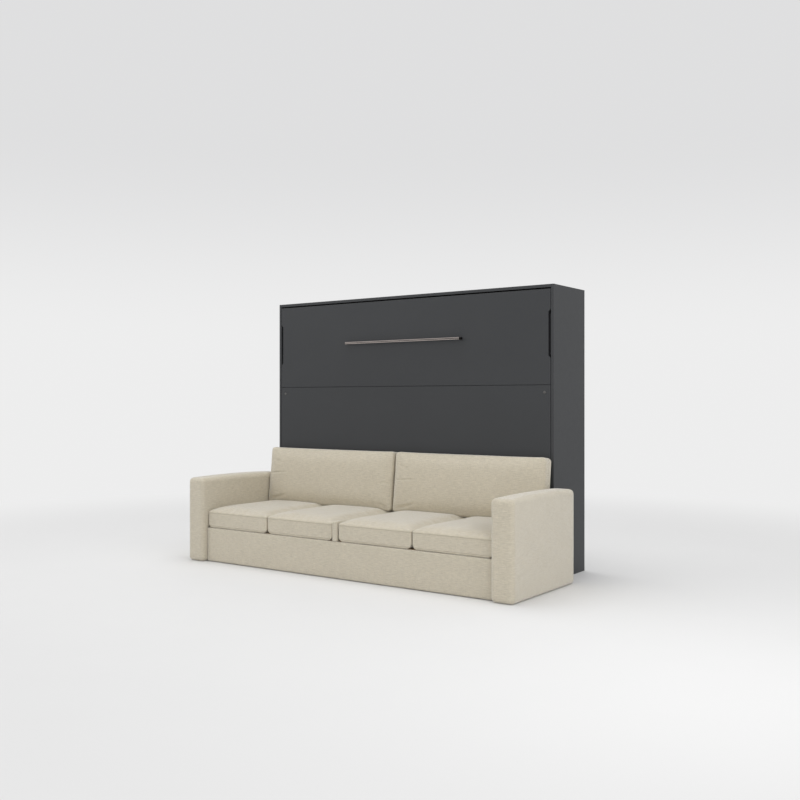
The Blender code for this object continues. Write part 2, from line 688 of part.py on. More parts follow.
def make_pivot_plate(side_name, side):
    half = PIVOT_PLATE_SIDE / 2
    outer = CABINET_INNER - FIT
    inner = outer - PIVOT_PLATE
    low, high = across(side, inner, outer)
    name = "pivot_plate_" + side_name
    corner_low = (low, PIVOT.y - half, PIVOT.z - half)
    corner_high = (high, PIVOT.y + half, PIVOT.z + half)
    plate = block(name, "black_steel", corner_low, corner_high)
    bevel(plate, METAL_EDGE)
    collar_end = BED_HALF + FIT + BUSH_LENGTH + PIN_END_GAP
    pin_end = BED_HALF + FIT + PIN_END_GAP
    sunk = inner + PIVOT_PLATE / 2
    profile = [
        (0.0, 0.0),
        (PIN_RADIUS, 0.0),
        (PIN_RADIUS, pin_end - collar_end),
        (PIN_COLLAR_RADIUS, pin_end - collar_end),
        (PIN_COLLAR_RADIUS, pin_end - sunk),
        (0.0, pin_end - sunk),
    ]
    turn = (0.0, -side * math.pi / 2, 0.0)
    pin = turned(name + "_pin", None, profile, (side * pin_end, PIVOT.y, PIVOT.z), turn)
    combine(plate, pin, "UNION")


def make_struts(bed):
    eye_inner = STRUT_X - EYE_THICKNESS / 2
    eye_outer = STRUT_X + EYE_THICKNESS / 2
    rod_end = STRUT_LENGTH - EYE_RADIUS + EYE_NECK
    bore = ROD_RADIUS + ROD_CLEARANCE / 2
    tube = [
        (0.0, STRUT_BORE_START),
        (bore, STRUT_BORE_START),
        (bore, STRUT_TUBE_END),
        (STRUT_RADIUS - STRUT_CHAMFER, STRUT_TUBE_END),
        (STRUT_RADIUS, STRUT_TUBE_END - STRUT_CHAMFER),
        (STRUT_RADIUS, STRUT_TUBE_START),
        (EYE_THICKNESS / 2, STRUT_TUBE_START),
        (EYE_THICKNESS / 2, EYE_RADIUS - EYE_NECK),
        (0.0, EYE_RADIUS - EYE_NECK),
    ]
    rod = [(0.0, rod_end), (ROD_RADIUS, rod_end), (ROD_RADIUS, ROD_INNER_END), (0.0, ROD_INNER_END)]
    for side_name, side in SIDES.items():
        x = side * STRUT_X
        foot = empty("strut_foot_" + side_name, (x, STRUT_FOOT.y, STRUT_FOOT.z), STRUT_LEAN)
        name = "strut_cylinder_" + side_name
        upright = (0.0, 0.0, 0.0)
        cylinder = turned(name, "black_steel", tube, foot.location, upright, foot)
        ends = (side * eye_inner, side * eye_outer)
        eye = cylinder_x(name + "_eye", None, EYE_RADIUS, *ends, STRUT_FOOT.y, STRUT_FOOT.z, foot)
        combine(cylinder, eye, "UNION")
        hole_ends = (side * (eye_inner - CUT_OVERRUN), side * (eye_outer + CUT_OVERRUN))
        hole_radius = STUD_RADIUS + STUD_CLEARANCE
        hole = cylinder_x(name + "_hole", None, hole_radius, *hole_ends, STRUT_FOOT.y, STRUT_FOOT.z, foot)
        combine(cylinder, hole, "DIFFERENCE")
        name = "strut_rod_" + side_name
        piston = turned(name, "rod_steel", rod, foot.location, upright, foot)
        head = cylinder_x(name + "_eye", None, EYE_RADIUS, *ends, STRUT_HEAD.y, STRUT_HEAD.z, foot)
        combine(piston, head, "UNION")
        wall, tip = CABINET_INNER - FIT, eye_inner - STUD_PAST_EYE
        make_strut_mount("strut_mount_" + side_name, wall, tip, side, STRUT_FOOT)
        wall, tip = BED_HALF + FIT, eye_inner - STRUT_OPEN_GAP
        make_strut_mount("strut_bracket_" + side_name, wall, tip, side, STRUT_HEAD, bed)


def make_strut_mount(name, wall, tip, side, spot, pivot=None):
    """A square plate on a side with a stud that points across the gap beside the bed."""
    half = STUD_PLATE_SIDE / 2
    face = wall + math.copysign(STUD_PLATE, tip - wall)
    low, high = across(side, wall, face)
    corner_low = (low, spot.y - half, spot.z - half)
    plate = block(name, "zinc_steel", corner_low, (high, spot.y + half, spot.z + half), pivot)
    bevel(plate, METAL_EDGE)
    start, end = across(side, (wall + face) / 2, tip)
    combine(plate, cylinder_x(name + "_stud", None, STUD_RADIUS, start, end, spot.y, spot.z, pivot), "UNION")


def make_legs(bed):
    """Each side: a leg tube on a pin, and the extension that slides out of it with its foot."""
    half = LEG_WIDTH / 2
    arc = [math.pi * index / (LEG_ARC_POINTS - 1) for index in range(LEG_ARC_POINTS)]
    loop = [(half * math.cos(a), half * math.sin(a)) for a in arc]
    loop += [(-half, -LEG_TUBE_LENGTH), (half, -LEG_TUBE_LENGTH)]
    for side_name, side in SIDES.items():
        x = side * LEG_X
        pivot = empty("leg_pivot_" + side_name, (x, LEG_Y, LEG_Z))
        name = "leg_" + side_name
        loops = [loop, circle(LEG_PIN_RADIUS + FIT)]
        leg = outline(name, "black_steel", loops, LEG_THICKNESS, pivot.location, FACING_X, pivot)
        wide = LEG_THICKNESS / 2 - LEG_WALL
        deep = half - LEG_WALL
        bore_low = (x - wide, LEG_Y - deep, LEG_Z - LEG_TUBE_LENGTH - CUT_OVERRUN)
        bore_high = (x + wide, LEG_Y + deep, LEG_Z - LEG_TUBE_LENGTH + LEG_BORE_LENGTH)
        combine(leg, block(name + "_bore", None, bore_low, bore_high, pivot), "DIFFERENCE")
        end = LEG_Z - LEG_TUBE_LENGTH - FIT
        bar_low = (x - wide + FIT, LEG_Y - deep + FIT, end)
        bar_high = (x + wide - FIT, LEG_Y + deep - FIT, end + EXTENSION_LENGTH)
        block("leg_extension_" + side_name, "zinc_steel", bar_low, bar_high, pivot)
        foot_low = (x - LEG_THICKNESS / 2, LEG_Y - half, end - FOOT_HEIGHT)
        foot_high = (x + LEG_THICKNESS / 2, LEG_Y + half, end - FIT)
        bevel(block("leg_foot_" + side_name, "nylon", foot_low, foot_high, pivot), METAL_EDGE)
        make_leg_pin(side_name, side, bed)


def make_leg_pin(side_name, side, bed):
    start = BED_HALF + FIT
    name = "leg_pin_" + side_name
    flange_end = start + LEG_PIN_FLANGE
    flange_ends = across(side, start, flange_end)
    flange = cylinder_x(name, "zinc_steel", LEG_PIN_FLANGE_RADIUS, *flange_ends, LEG_Y, LEG_Z, bed)
    tip = LEG_INNER + LEG_THICKNESS
    shank_ends = across(side, (start + flange_end) / 2, tip)
    combine(flange, cylinder_x(name + "_shank", None, LEG_PIN_RADIUS, *shank_ends, LEG_Y, LEG_Z, bed), "UNION")


def make_arm(name, low, high):
    """An upholstered arm: round edges, an upright body on the floor and a crowned top."""
    arm = block(name, "beige_fabric", low, high)
    half = (Vector(high) - Vector(low)) / 2
    bm = bmesh.new()
    bm.from_mesh(arm.data)
    for axis in (0, 1):
        cut_across(bm, axis, [share * half[axis] for share in ARM_CELLS_SHARES])
    for vertex in bm.verts:
        if vertex.co.z > 0:
            shares = [abs(vertex.co[axis] / half[axis]) for axis in (0, 1)]
            vertex.co.z += ARM_CROWN * math.prod(1 - share**ARM_CROWN_POWER for share in shares)
    bm.to_mesh(arm.data)
    bm.free()
    bevel(arm, ARM_EDGE, ARM_SEGMENTS)
    shade_round(arm)


def make_sofa_base():
    for side_name, side in SIDES.items():
        low, high = across(side, ARM_INNER, ARM_OUTER)
        make_arm("sofa_arm_" + side_name, (low, ARM_FRONT, 0.0), (high, ARM_BACK, ARM_HEIGHT))
    low, high = (-SEAT_HALF, BASE_FRONT, BASE_FLOOR_GAP), (SEAT_HALF, BASE_INNER, BASE_HEIGHT)
    bevel(block("sofa_base_front", "beige_fabric", low, high), METAL_EDGE)
    low = (-SEAT_HALF, ARM_BACK - BASE_BOARD, BASE_FLOOR_GAP)
    bevel(block("sofa_base_back", "beige_fabric", low, (SEAT_HALF, ARM_BACK, BASE_HEIGHT)), METAL_EDGE)
    low = (-SEAT_HALF, BASE_INNER + FIT, BASE_HEIGHT - DECK_THICKNESS)
    block("seat_deck", "slat_wood", low, (SEAT_HALF, ARM_BACK - BASE_BOARD - FIT, BASE_HEIGHT))
    half = DIVIDER_WIDTH / 2
    low = (-half, BASE_FRONT - DIVIDER_PROUD, BASE_HEIGHT + FIT)
    high = (half, ARM_BACK - SEAT_BACK_GAP, BASE_HEIGHT + FIT + DIVIDER_HEIGHT)
    divider = block("seat_divider", "beige_fabric", low, high)
    bevel(divider, DIVIDER_EDGE, DIVIDER_SEGMENTS)
    shade_round(divider)


def make_seat_cushions():
    """Four seat cushions, two on each side of the divider, numbered from the left."""
    inner = DIVIDER_WIDTH / 2 + SEAT_GAP
    outer = SEAT_HALF - SEAT_GAP
    width = (outer - inner - SEAT_GAP * (SEAT_CUSHIONS_A_SIDE - 1)) / SEAT_CUSHIONS_A_SIDE
    front = BASE_FRONT - SEAT_PROUD
    back = ARM_BACK - SEAT_BACK_GAP
    size = (width, back - front, SEAT_THICKNESS)
    middles = [inner + width / 2 + index * (width + SEAT_GAP) for index in range(SEAT_CUSHIONS_A_SIDE)]
    z = BASE_HEIGHT + FIT + SEAT_THICKNESS / 2
    for number, x in enumerate(sorted(middles + [-x for x in middles]), 1):
        spot = (x, (front + back) / 2, z)
        cushion(f"seat_cushion_{number}", size, SEAT_EDGE, (SEAT_CROWN, 0.0), SEAT_DRAW, spot)


def make_back_cushions():
    """Two back cushions, leaning on the closed front, under one turning line."""
    inner, outer = BACK_MIDDLE_GAP / 2, SEAT_HALF - BACK_END_GAP
    size = (outer - inner, BACK_THICKNESS, BACK_HEIGHT)
    y = CABINET_FRONT - BACK_FROM_CABINET
    z = BASE_HEIGHT + FIT + SEAT_THICKNESS + BACK_ABOVE_SEAT
    turn = empty("cushion_turn", CUSHION_TURN)
    for side_name, side in SIDES.items():
        spot = (side * (inner + outer) / 2, y, z)
        crowns = (BACK_REAR_CROWN, BACK_CROWN)
        name = "back_cushion_" + side_name
        cushion(name, size, BACK_EDGE, crowns, BACK_DRAW, spot, BACK_TILT, 1, turn)


clear_scene()
PARTS = collection("sofa_wall_bed")
CUTTERS = collection("cutters")
bed_pivot = empty("bed_pivot", PIVOT)
make_cabinet()
make_fronts(bed_pivot)
make_bolts(bed_pivot)
make_handle(bed_pivot)
make_frame(bed_pivot)
make_slats(bed_pivot)
make_mattress(bed_pivot)
make_pivots(bed_pivot)
make_struts(bed_pivot)
make_legs(bed_pivot)
make_sofa_base()
make_seat_cushions()
make_back_cushions()
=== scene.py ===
"""Finishes, soft forms and stage of a sideways wall bed with a sofa in front of it."""

import math

import bmesh
import bpy
import numpy as np
from mathutils import Matrix, Vector
from mathutils.bvhtree import BVHTree


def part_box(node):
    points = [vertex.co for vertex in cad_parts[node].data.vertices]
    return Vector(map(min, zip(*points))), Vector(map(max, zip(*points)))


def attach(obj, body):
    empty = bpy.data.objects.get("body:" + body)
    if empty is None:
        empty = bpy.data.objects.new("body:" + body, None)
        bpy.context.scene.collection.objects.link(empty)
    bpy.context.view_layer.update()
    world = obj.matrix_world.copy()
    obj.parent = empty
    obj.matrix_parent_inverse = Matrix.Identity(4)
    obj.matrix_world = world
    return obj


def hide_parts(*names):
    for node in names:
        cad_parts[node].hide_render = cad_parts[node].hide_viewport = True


bl_info = {
    "name": "Sofa wall bed",
    "version": (1, 0, 0),
    "blender": (4, 5, 0),
    "location": "3D View > Sidebar > Wall bed",
    "description": "Dresses the packed wall bed and its sofa, and sets its stage",
    "category": "Object",
}

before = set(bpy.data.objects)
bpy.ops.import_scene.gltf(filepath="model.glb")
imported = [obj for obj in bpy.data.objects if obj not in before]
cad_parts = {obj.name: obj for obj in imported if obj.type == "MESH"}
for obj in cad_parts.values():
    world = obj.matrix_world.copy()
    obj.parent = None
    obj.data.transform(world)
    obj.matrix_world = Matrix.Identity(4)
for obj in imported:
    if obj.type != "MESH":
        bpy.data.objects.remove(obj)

SIDES = {"left": -1, "right": 1}
WEAVE_MAP = "weave"
SEAM_LAYER = "seam_distance"
NO_SEAM = 1.0  # a seam distance that shows no seam

# Cloths, in metres
YARN_DRIFT = 0.0012
# Painted shade in a seam's groove: the linen keeps these shares of its colour there
SEAM_SHADE = (0.5, 0.45, 0.36)  # shares of the linen's colour that are left in a seam
KNIT_RIB, KNIT_LOOP, QUILT_SEAM = 0.0022, 0.0016, 0.0012
WEB_RIB, WEB_PICK = 0.0018, 0.0026

# How full the padded pieces are
CUSHION_FILL, PAD_FILL, BOARD_FILL = 0.85, 0.95, 1.0

# Sizes of faces on the base boards and on the divider
BOARD_CELL, DIVIDER_CELL = 0.012, 0.006

SCREW_SIDES = 16

# Slow unevenness: relative frequencies, waves of each, and what brings their sum to about 1
OCTAVES, WAVES_EACH, WAVES_SUM = (1.0, 1.9, 3.1), 3, 4.5

# Shares of the crowns that cushions have before air is let in, and a back cushion's rear swell
SEAT_CROWN_START, BACK_CROWN_START, BACK_REAR_SWELL = 0.8, 0.7, 0.003

# From which share of its half width on a point counts as lying on a cushion's side
SIDE_FROM, SIDE_PUSHED_FROM = 0.86, 0.9

# Puckers along a seam: their height as a share of the boxing's inset, length and reach
PUCKER_HEIGHT, PUCKER_LENGTH, PUCKER_REACH = 0.35, 0.06, 0.008

# Seat cushions are pressed by the back ones behind this place along Y
PRESSED_FROM = -0.05

# The cover of a cushion while air is let into it
COVER_CLOTH = {
    "quality": 5,
    "mass": 0.2,
    "tension_stiffness": 12.0,
    "compression_stiffness": 12.0,
    "shear_stiffness": 6.0,
    "bending_stiffness": 0.3,
    "use_pressure": True,
    "vertex_group_mass": "held",
}

# Creases in a back cushion's face, from its left and from its right edge. Each has its points, in
# metres from that edge and up from the bottom (True) or the middle (False), its depth and width.
LEFT_CREASES = (
    (((0.04, 0.03), (0.11, 0.042), (0.19, 0.066)), True, 0.004, 0.009),
    (((0.012, 0.008), (0.08, 0.014), (0.18, 0.021)), False, 0.003, 0.006),
    (((0.04, 0.11), (0.09, 0.095), (0.13, 0.08)), False, 0.0015, 0.01),
)
RIGHT_CREASES = (
    (((0.02, 0.025), (0.07, 0.04), (0.12, 0.05)), True, 0.002, 0.009),
    (((0.012, -0.02), (0.05, -0.012), (0.1, -0.018)), False, 0.002, 0.007),
)

# The stage: the floor's half width, where it fades into the background, the same for the view's
# height, the light from all round, and each lamp's setting, place and size
FLOOR_REACH = 14.0
FLOOR_FADE = (2.2, 5.5)
SKY_FADE = (0.06, 0.26)
SURROUND = (0.8, 0.8, 0.8)
LAMP_AIM = Vector((0.0, -0.1, 0.7))
LAMPS = {
    "key": ((3.4, -1.8, 2.0), 2.0),
    "top": ((-0.3, 0.2, 4.2), 3.0),
    "fill": ((-3.6, -3.6, 2.6), 3.0),
}
SENSOR_WIDTH = 36.0


# Settings


def number(name, description, default, subtype="NONE"):
    return bpy.props.FloatProperty(
        name=name, description=description, default=default, subtype=subtype
    )


def length(name, description, default):
    """A length in metres."""
    return number(name, description, default, "DISTANCE")


def whole(name, description, default, least=0):
    return bpy.props.IntProperty(name=name, description=description, default=default, min=least)


def vector(name, description, default, size=3, subtype="NONE"):
    return bpy.props.FloatVectorProperty(
        name=name, description=description, default=default, size=size, subtype=subtype
    )


def tint(name, description, default):
    """A colour, in linear light."""
    return vector(name, description, default, 3, "COLOR")


def settings(group):
    """The scene's settings of one group, such as cushions."""
    return getattr(bpy.context.scene, "wall_bed_" + group)


class FabricSettings(bpy.types.PropertyGroup):
    """The sofa's beige linen"""

    colour: tint("Linen", "Middle colour of the linen", (0.60, 0.545, 0.435))
    slub_colour: tint("Slub", "Colour of the thick pale yarns", (0.74, 0.70, 0.60))
    thread: length("Thread", "Distance from yarn to yarn", 0.0016)
    relief: length("Relief", "Height of a yarn over its neighbours", 0.0004)
    seam_width: length("Seam", "Half width of a sewn seam's groove", 0.0023)


class BoardSettings(bpy.types.PropertyGroup):
    """The cabinet's laminated board"""

    colour: tint("Laminate", "Colour of the boards", (0.047, 0.049, 0.052))
    roughness: number("Roughness", "Roughness of the boards", 0.5)
    grain: length("Grain", "Size of the pressed texture", 0.0022)
    strip_depth: length(
        "Strip depth", "How far the seam's strip lies behind the front's face", 0.006
    )
    strip_hold: length("Strip hold", "How far the strip is let into both boards", 0.0005)
    strip_cell: length("Strip cell", "Length of the strip's faces", 0.05)


class MetalSettings(bpy.types.PropertyGroup):
    """Handle and ironwork"""

    nickel: tint("Nickel", "Colour of the brushed handle", (0.37, 0.33, 0.31))
    # Painted shade on the handle: the width of its darkened groove band, and how far from each end
    # the bar is darkened
    groove: length("Groove", "Width of the dark groove along the handle", 0.0048)
    handle_cap: length("Handle cap", "Thickness of the dark caps on the handle's ends", 0.002)
    black: tint("Black coat", "Colour of the powder coat", (0.016, 0.016, 0.018))
    zinc: tint("Zinc", "Colour of the zinc plating", (0.55, 0.56, 0.57))
    bolt: tint("Bolt", "Colour of the dark bolts in the front", (0.15, 0.148, 0.142))
    plate_wall: length("Plate", "Thickness of the pivot plates and hinge arms", 0.005)
    plate_inset: length("Plate screws", "Distance of their screws from the edges", 0.014)
    lug_wall: length("Lug", "Thickness of the strut lugs and wall brackets", 0.003)
    lug_inset: length("Lug screws", "Distance of a lug's screws from its edges", 0.009)
    screw_radius: length("Screw head", "Radius of a screw's head", 0.0042)
    screw_height: length("Head height", "Height of a screw's head", 0.0016)


class SlatSettings(bpy.types.PropertyGroup):
    """The sprung slats and their bands"""

    wood: tint("Birch", "Colour of the slats", (0.62, 0.45, 0.27))
    count: whole("Slats", "Slats in a row", 14, 2)
    width: length("Width", "Width of a slat", 0.053)
    thickness: length("Thickness", "Thickness of a slat", 0.008)
    edge: length("Edge", "Radius of a slat's edges", 0.003)
    cap_length: length("End cap", "Length of the sleeve on a slat's end", 0.022)
    cap_wall: length("Cap wall", "Wall of that sleeve", 0.0012)
    band_width: length("Band", "Width of a woven band", 0.025)
    band_shares: vector("Band places", "Places of the bands along the slats", (0.22, 0.78), 2)
    band_thickness: length("Band thickness", "Thickness of a woven band", 0.0015)


class MattressSettings(bpy.types.PropertyGroup):
    """The quilted mattress and its straps"""

    ticking: tint("Ticking", "Colour of the cover", (0.74, 0.73, 0.70))
    border: tint("Border", "Colour of the border", (0.52, 0.53, 0.54))
    piping_colour: tint("Piping cloth", "Colour of the piping", (0.21, 0.215, 0.225))
    edge: length("Edge", "Radius of the mattress's edges", 0.03)
    quilt: length("Quilt", "Distance between quilted lines", 0.1)
    quilt_depth: length("Quilt depth", "Depth of a quilted line", 0.005)
    cell: length("Cell", "Size of the mattress's faces", 0.0125)
    piping: length("Piping", "Radius of the piping", 0.0026)
    strap_thickness: length("Strap", "Thickness of a strap", 0.002)
    strap_step: length("Strap step", "Length of a strap's faces", 0.04)
    webbing: tint("Webbing", "Colour of the straps", (0.05, 0.05, 0.055))


class CushionSettings(bpy.types.PropertyGroup):
    """The loose seat and back cushions"""

    cell: length("Cell", "Size of a cushion's faces before its last split", 0.009)
    seat_edge: length("Seat edge", "Radius of a seat cushion's edges", 0.0105)
    seat_corner: length("Seat corner", "Radius of a seat's lower corners, from the front", 0.041)
    seat_top_corner: length(
        "Seat top corner", "Radius of a seat's upper corners, from the front", 0.011
    )
    seat_crown: length("Seat crown", "Rise of a seat cushion's top", 0.018)
    seat_seam: length("Seat seam", "Height of the upper seam below the edge", 0.0105)
    seat_low_seam: length("Low seam", "Height of the lower seam above the deck", 0.012)
    boxing_inset: length("Boxing inset", "How far a cushion's sides lie inside its top", 0.0012)
    seat_by_divider: length(
        "By the divider", "How near to the middle a seat cushion by the divider comes", 0.05
    )
    seat_reach: length("Seat reach", "How far a seat cushion swells to the divider", 0.0035)
    back_reach: length("Back reach", "How far a back cushion swells to its arm", 0.005)
    back_meet: length("Back meet", "How far a back cushion swells to the other one", 0.003)
    back_corner: length("Back corner", "Radius of a back cushion's corners", 0.03)
    back_edge: length("Back edge", "Radius of a back cushion's edges", 0.013)
    back_thickness: length("Back thickness", "Thickness of a back cushion's edge", 0.085)
    back_crown: length("Back crown", "Swell of a back cushion's face", 0.014)
    back_tilt: number("Tilt", "Lean of the back cushions", math.radians(6.5), "ANGLE")
    slack: length("Slack", "How much smaller a cushion starts", 0.004)
    pressure: number("Pressure", "Pressure of the filling", 4.0)
    spare: number("Spare cloth", "Share by which the cover is too large", 0.03)
    frames: whole("Steps", "Steps of the simulation", 20)
    side_swell: number("Side swell", "Share of the swelling that the sewn sides take", 0.35)
    seat_evening: whole("Seat evening", "Times that a seat cushion's swelling is evened out", 5)
    back_evening: whole("Back evening", "Times that a back cushion's swelling is evened out", 14)
    swell_cap: length("Cap", "The most that air may move a point of a cushion", 0.022)
    clearance: length("Clearance", "Room kept between pieces", 0.0006)
    unevenness: length("Unevenness", "Slow unevenness of the filling", 0.0008)
    stitch_below: length("Stitch below", "Height of the stitches below the seam", 0.003)
    stitch: length("Stitch", "Distance from stitch to stitch", 0.006)
    stitch_length: length("Stitch length", "Length of a stitch", 0.0036)
    stitch_radius: length("Thread radius", "Radius of the sewing thread", 0.0004)


class BodySettings(bpy.types.PropertyGroup):
    """The sofa's arms and base"""

    arm_edge: length("Arm edge", "Radius of an arm's edges", 0.026)
    arm_crown: length("Arm crown", "Rise of an arm's top", 0.011)
    arm_cell: length("Arm cell", "Size of an arm's faces", 0.008)
    base_edge: length("Base edge", "Radius of the base boards' edges", 0.004)
    deck_edge: length("Deck edge", "Radius of the seat deck's edges", 0.0015)
    divider_edge: length("Divider edge", "Radius of the divider's edges", 0.007)
    divider_inset: length("Divider inset", "How far the divider is drawn in at each side", 0.0035)
    divider_setback: length("Divider setback", "How far the divider's front is drawn in", 0.009)
    divider_rise: length(
        "Divider rise", "How far the divider's head stands above the rest of it", 0.016
    )
    divider_head: length("Divider head", "Length of the divider's raised head", 0.05)
    waviness: length("Waviness", "Unevenness of the padding", 0.0008)


class StageSettings(bpy.types.PropertyGroup):
    """Floor, lamps and camera"""

    floor: tint("Floor", "Colour of the floor", (0.765, 0.765, 0.765))
    background: tint("Background", "What the camera sees behind", (0.85, 0.85, 0.85))
    background_top: tint("Upper background", "The background high up", (0.74, 0.74, 0.745))
    camera_place: vector(
        "Camera", "Place of the camera", (3.578, -4.8651, 1.0498), 3, "TRANSLATION"
    )
    camera_turn: number(
        "Turn", "Turn of the camera about the vertical", math.radians(35.64), "ANGLE"
    )
    lens: number("Lens", "Focal length of the camera", 43.0, "DISTANCE_CAMERA")
    sky: number("Sky", "Strength of the light from all round", 1.04)
    key: number("Key", "Power of the lamp at the right", 23.0, "POWER")
    top: number("Top", "Power of the lamp overhead", 56.0, "POWER")
    fill: number("Fill", "Power of the lamp at the left", 18.0, "POWER")


# Node graphs


class Flow:
    """One output of a node, on which sums can be written."""

    def __init__(self, graph, socket):
        self.graph, self.socket = graph, socket

    def __add__(self, other):
        return self.graph.sum("ADD", self, other)

    __radd__ = __add__

    def __mul__(self, other):
        return self.graph.sum("MULTIPLY", self, other)

    def __sub__(self, other):
        return self.graph.sum("SUBTRACT", self, other)

    def __rsub__(self, other):
        return self.graph.sum("SUBTRACT", other, self)

    def __truediv__(self, other):
        return self.graph.sum("DIVIDE", self, other)

    def __abs__(self):
        return self.graph.sum("ABSOLUTE", self)

    def __lt__(self, other):
        return self.graph.sum("LESS_THAN", self, other)

    def __gt__(self, other):
        return self.graph.sum("GREATER_THAN", self, other)


class Graph:
    """A node tree with one way to add a node."""

    def __init__(self, tree):
        self.tree = tree

    def add(self, kind, settings=None, inputs=None):
        """Adds a node, sets its settings, then gives its inputs their values or links."""
        node = self.tree.nodes.new(kind)
        for name, value in (settings or {}).items():
            setattr(node, name, value)
        for name, value in (inputs or {}).items():
            self.feed(node.inputs[name], value)
        return node

    def feed(self, socket, value):
        if isinstance(value, Flow):
            self.tree.links.new(value.socket, socket)
        elif socket.type == "RGBA":
            socket.default_value = (*value, 1.0)
        else:
            socket.default_value = value

    def flow(self, kind, settings=None, inputs=None, output=0):
        return Flow(self, self.add(kind, settings, inputs).outputs[output])

    def sum(self, operation, *values):
        return self.flow("ShaderNodeMath", {"operation": operation}, dict(enumerate(values)))

    def largest(self, first, *others):
        for other in others:
            first = self.sum("MAXIMUM", first, other)
        return first

    def vector(self, x=0.0, y=0.0, z=0.0):
        return self.flow("ShaderNodeCombineXYZ", None, {0: x, 1: y, 2: z})

    def parts(self, vector):
        node = self.add("ShaderNodeSeparateXYZ", None, {0: vector})
        return [Flow(self, socket) for socket in node.outputs]

    def rise(self, value, start, end):
        """A smooth rise from 0 to 1 between two values."""
        inputs = {"Value": value, "From Min": start, "From Max": end}
        return self.flow("ShaderNodeMapRange", {"interpolation_type": "SMOOTHSTEP"}, inputs)

    def blend(self, factor, first, second):
        """A colour between two colours."""
        inputs = {0: factor, 6: first, 7: second}  # a Mix node's sockets for colours
        return self.flow("ShaderNodeMix", {"data_type": "RGBA"}, inputs, 2)


class Finish(Graph):
    """A material with its Principled shader."""

    def __init__(self, name):
        self.material = bpy.data.materials.new(name)
        self.material.use_nodes = True
        super().__init__(self.material.node_tree)
        self.shader = self.tree.nodes["Principled BSDF"]

    def place(self):
        return self.flow("ShaderNodeTexCoord", output="Object")

    def weave_place(self):
        return self.flow("ShaderNodeUVMap", {"uv_map": WEAVE_MAP})

    def noise(self, vector, scale, detail=2.0, roughness=0.5):
        inputs = {"Vector": vector, "Scale": scale, "Detail": detail, "Roughness": roughness}
        return self.flow("ShaderNodeTexNoise", None, inputs)

    def grain(self, vector, scales, detail=2.0, roughness=0.5):
        """Noise with its own scale, in parts per metre, along each axis."""
        inputs = {0: vector, 1: scales}
        spaced = self.flow("ShaderNodeVectorMath", {"operation": "MULTIPLY"}, inputs)
        return self.noise(spaced, 1.0, detail, roughness)

    def ramp(self, value, start, end):
        """A straight rise from 0 to 1 between two values."""
        node = self.add("ShaderNodeValToRGB", None, {0: value})
        for element, position, level in zip(node.color_ramp.elements, (start, end), (0.0, 1.0)):
            element.position = position
            element.color = (level, level, level, 1.0)
        return Flow(self, node.outputs[0])

    def ribs(self, turns):
        """Round ribs from 0 to 1, one for each half turn."""
        return abs(self.sum("SINE", turns))

    def seam(self, width):
        """A seam's groove: 1 on the seam, falling off over its half width."""
        layer = self.flow("ShaderNodeAttribute", {"attribute_name": SEAM_LAYER}, output="Fac")
        near = abs(layer) / width
        return self.sum("EXPONENT", near * near * -1.0)

    def toned(self, factor, colour, dark, light):
        """A colour that goes from one share of itself to another."""
        return self.blend(factor, shaded(colour, dark), shaded(colour, light))

    def relief(self, height, distance, below=None):
        inputs = {"Height": height, "Distance": distance, "Strength": 1.0}
        if below:
            inputs["Normal"] = below
        return self.flow("ShaderNodeBump", None, inputs)

    def wear(self, **inputs):
        """Gives the shader its values or links, and returns the material."""
        for name, value in inputs.items():
            label = name.replace("_", " ").title().replace("Ior", "IOR")
            self.feed(self.shader.inputs[label], value)
        return self.material


# Materials. Scales of noise are in parts per metre, and reliefs are in metres.


def shaded(colour, share):
    """A colour made darker or lighter."""
    return tuple(min(1.0, part * share) for part in colour)


def finish(name):
    """Turns a function that lays out a material into one that makes it once and hands it out."""

    def turn(lay_out):
        def hand_out():
            return bpy.data.materials.get(name) or lay_out(Finish(name))

        return hand_out

    return turn


